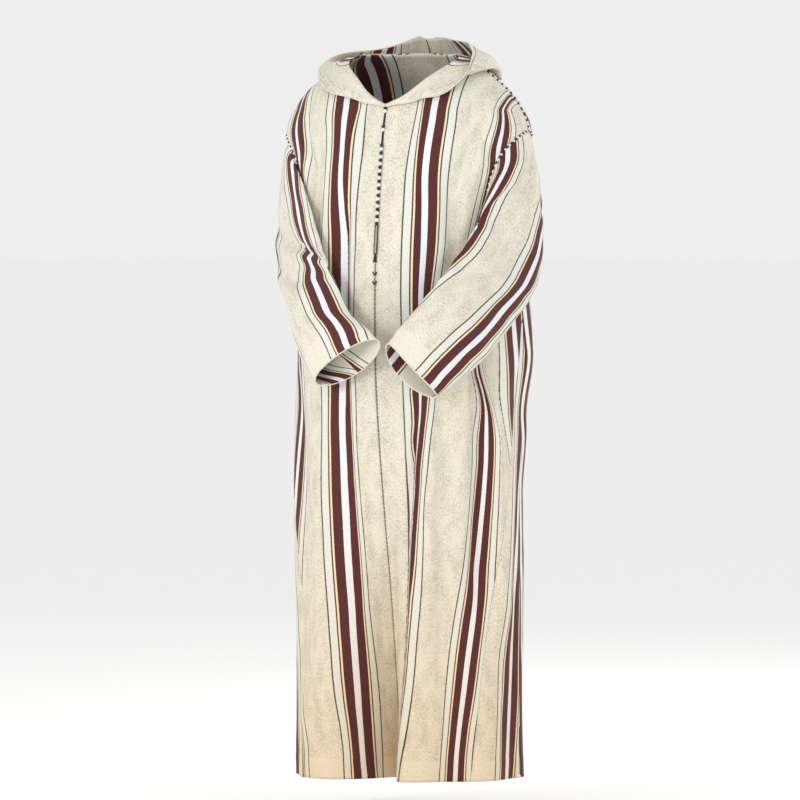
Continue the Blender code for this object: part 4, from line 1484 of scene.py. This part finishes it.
knot_drops = list(KNOTS_AT) + list(np.linspace(KNOTS_FROM, KNOTS_TO, KNOTS_RUN))
knot_points = seam_line(knot_drops, KNOT_RADIUS * 0.9 + SEAM_GROOVE)
knots("knots_dark", knot_points[0::2], KNOT_RADIUS, dark_thread, ("knot_row",))
knots("knots_pale", knot_points[1::2], PALE_KNOT_RADIUS, white_thread)
knot_cord = seam_line(np.linspace(0.104, 0.330, 60), 0.0010)
cord_piece("knot_cord", [knot_cord], 0.0021, dark_thread)
print(len(knot_drops), "knots")

# %% [markdown]
# ## Loops
# The two loops are one thin cord that turns in a small arch under the last knot, so the
# arch is a half circle through the tops of the two straight stretches.

# %% Loops
LOOP_TOP = 0.3335
LOOP_END = 0.386
LOOP_SPREAD = 0.0030
LOOP_RADIUS = 0.0009
LOOP_STAND_OFF = 0.0022 + SEAM_GROOVE
for word, sideways in (("left", LOOP_SPREAD), ("right", -LOOP_SPREAD)):
    line = seam_line(np.linspace(LOOP_TOP, LOOP_END, 24), LOOP_STAND_OFF, sideways)
    stands_for = (f"loop_cord_{word}",)
    cord_piece(f"loop_{word}", [line], LOOP_RADIUS, dark_thread, stands_for)
arch = np.linspace(-1, 1, 15)
arch_line = seam_line(LOOP_TOP - 0.0035 * np.sqrt(1 - arch**2), 0.0024 + SEAM_GROOVE)
arch_line[:, 0] += LOOP_SPREAD * arch
cord_piece("loop_arch", [arch_line], 0.0010, dark_thread)
print("each loop is", round((LOOP_END - LOOP_TOP) * 1000, 1), "mm long")

# %% [markdown]
# ## Chevrons and tassel
# Two small V marks close the row, and the loops end in a tassel of a few strands that
# spread a little as they hang.

# %% Chevrons and tassel
CHEVRON_DROPS = (0.4265, 0.4440)
CHEVRON_REACH = 0.0042
CHEVRON_HEIGHT = 0.0062
TASSEL_END = 0.402
TASSEL_LEANS = (-0.0028, -0.0014, 0.0, 0.0014, 0.0028)


def chevron(drop):
    """The two strokes of a small V that points down."""
    left = seam_line([drop - CHEVRON_HEIGHT, drop], 0.0016 + SEAM_GROOVE)
    right = left.copy()
    left[0, 0] += CHEVRON_REACH
    right[0, 0] -= CHEVRON_REACH
    return [left, right]


marks = [stroke for drop in CHEVRON_DROPS for stroke in chevron(drop)]
cord_piece("chevrons", marks, 0.0013, dark_thread)
strands = []
for lean in TASSEL_LEANS:
    strand = seam_line(np.linspace(LOOP_END - 0.001, TASSEL_END, 6), 0.0024 + SEAM_GROOVE)
    strand[:, 0] += lean * np.linspace(0.2, 1.0, 6)
    strands.append(strand)
cord_piece("tassel_threads", strands, 0.0011, dark_thread, ("tassel",))
print(len(marks), "strokes and", len(strands), "strands")

# %% [markdown]
# ## Openwork
# Below the chevrons the two fronts are joined by rungs of thread. Every second rung slants
# the other way, as a hand-sewn zigzag does, and a few stitches fill the space above it.

# %% Openwork ladder
LADDER_FROM = 0.445
LADDER_TO = 1.385
LADDER_PITCH = 0.0042
RUNG_SLANT = 0.0009
RUNG_REACH = 0.85
STITCH_DROPS = (0.4065, 0.4105, 0.4145, 0.4185, 0.4325, 0.4365)
STITCH_LENGTH = 0.0016
rungs = []
for k, drop in enumerate(np.arange(LADDER_FROM, LADDER_TO, LADDER_PITCH)):
    slant = RUNG_SLANT if k % 2 else -RUNG_SLANT
    sides = ((-RUNG_REACH, slant), (RUNG_REACH, -slant))
    ends = [body_point(np.array(angle), np.array(drop + lean)) for angle, lean in sides]
    normal = body_normal(np.array(0.0), np.array(drop))
    rungs.append([end + normal * 0.0004 for end in ends])
cord_piece("ladder_rungs", rungs, 0.0008, brown_thread)
small = [seam_line([top, top + STITCH_LENGTH], 0.0008 + SEAM_GROOVE) for top in STITCH_DROPS]
cord_piece("seam_stitches", small, 0.0007, dark_thread)
print(len(rungs), "rungs")

# %% [markdown]
# ## Knotted seams of the shoulders
# The shoulder seams and the heads of the sleeves are overstitched with tiny dark and pale
# knots. They follow the seam's own line on the form, so they sit on it from every side.

# %% Shoulder stitching
DOT_PITCH = 0.0062
DOT_RADIUS = 0.0026


def spaced(line, pitch):
    """Points at an even pitch along a dense line."""
    run = length_along(line)
    at = np.arange(0.0, run[-1], pitch)
    return np.stack([np.interp(at, run, line[:, c]) for c in range(3)], axis=-1)


for side, word in ((1, "left"), (-1, "right")):
    drops = np.linspace(0.030, ARMHOLE_TOP - 0.002, 200)
    angle = np.full(len(drops), side * SHOULDER_SEAM)
    shoulder = body_point(angle, drops) + body_normal(angle, drops) * DOT_RADIUS * 0.4
    swing = np.radians(np.linspace(168, -8, 300))
    head = armhole_point(side, swing, 0.0)
    head = head + unit(head * (1, 1, 0)) * DOT_RADIUS * 0.8
    dots = np.concatenate([spaced(shoulder, DOT_PITCH), spaced(head, DOT_PITCH)])
    knots(f"seam_dots_dark_{word}", dots[0::2], DOT_RADIUS, dark_thread)
    knots(f"seam_dots_pale_{word}", dots[1::2], DOT_RADIUS, white_thread)
    print(len(dots), "knots on the", word, "shoulder")

# %% [markdown]
# ## What a maker cut
# The hood, sleeves, fronts, back and gores are separate cuts, and none is a plain rectangle.


# %% [markdown]
# ## Floor and light
# The robe hangs in a plain bright studio: a wide pale floor below the hem, an even white
# surrounding, one large soft light in front, a weaker one at its left side and one behind,
# which together leave soft shade in the folds.

# %% Studio
FLOOR_DROP = 1.47
FLOOR_RADIUS = 60.0
bpy.context.scene.view_settings.view_transform = "Standard"
floor_mesh = bpy.data.meshes.new("floor")
work = bmesh.new()
bmesh.ops.create_circle(work, cap_ends=True, segments=96, radius=FLOOR_RADIUS)
bmesh.ops.translate(work, verts=work.verts, vec=(0, 0, -FLOOR_DROP))
work.to_mesh(floor_mesh)
work.free()
floor = bpy.data.objects.new("floor", floor_mesh)
bpy.context.scene.collection.objects.link(floor)
floor_finish = Finish("pale_floor", 0.9)
floor_finish.surface.inputs["Base Color"].default_value = (0.985, 0.985, 0.98, 1.0)
floor_mesh.materials.append(floor_finish.material)

world = bpy.data.worlds.new("studio")
bpy.context.scene.world = world
world.use_nodes = True
background = world.node_tree.nodes["Background"]
background.inputs["Color"].default_value = (1.0, 1.0, 1.0, 1.0)
background.inputs["Strength"].default_value = 0.86


def soft_light(name, place, size, power, colour):
    """A large square lamp that faces the middle of the robe."""
    lamp = bpy.data.lights.new(name, "AREA")
    lamp.size = size
    lamp.energy = power
    lamp.color = colour
    holder = bpy.data.objects.new(name, lamp)
    holder.location = place
    holder.rotation_mode = "QUATERNION"
    holder.rotation_quaternion = (aim - Vector(place)).to_track_quat("-Z", "Y")
    bpy.context.scene.collection.objects.link(holder)


soft_light("key", (-1.5, -3.5, 0.2), 1.1, 40, (1.0, 0.98, 0.96))
soft_light("side", (3.0, -1.8, -0.2), 1.6, 17, (1.0, 0.985, 0.96))
soft_light("behind", (0.8, 3.6, 1.6), 2.0, 40, (1.0, 0.99, 0.97))
print("lamps:", [lamp.name for lamp in bpy.data.lights])
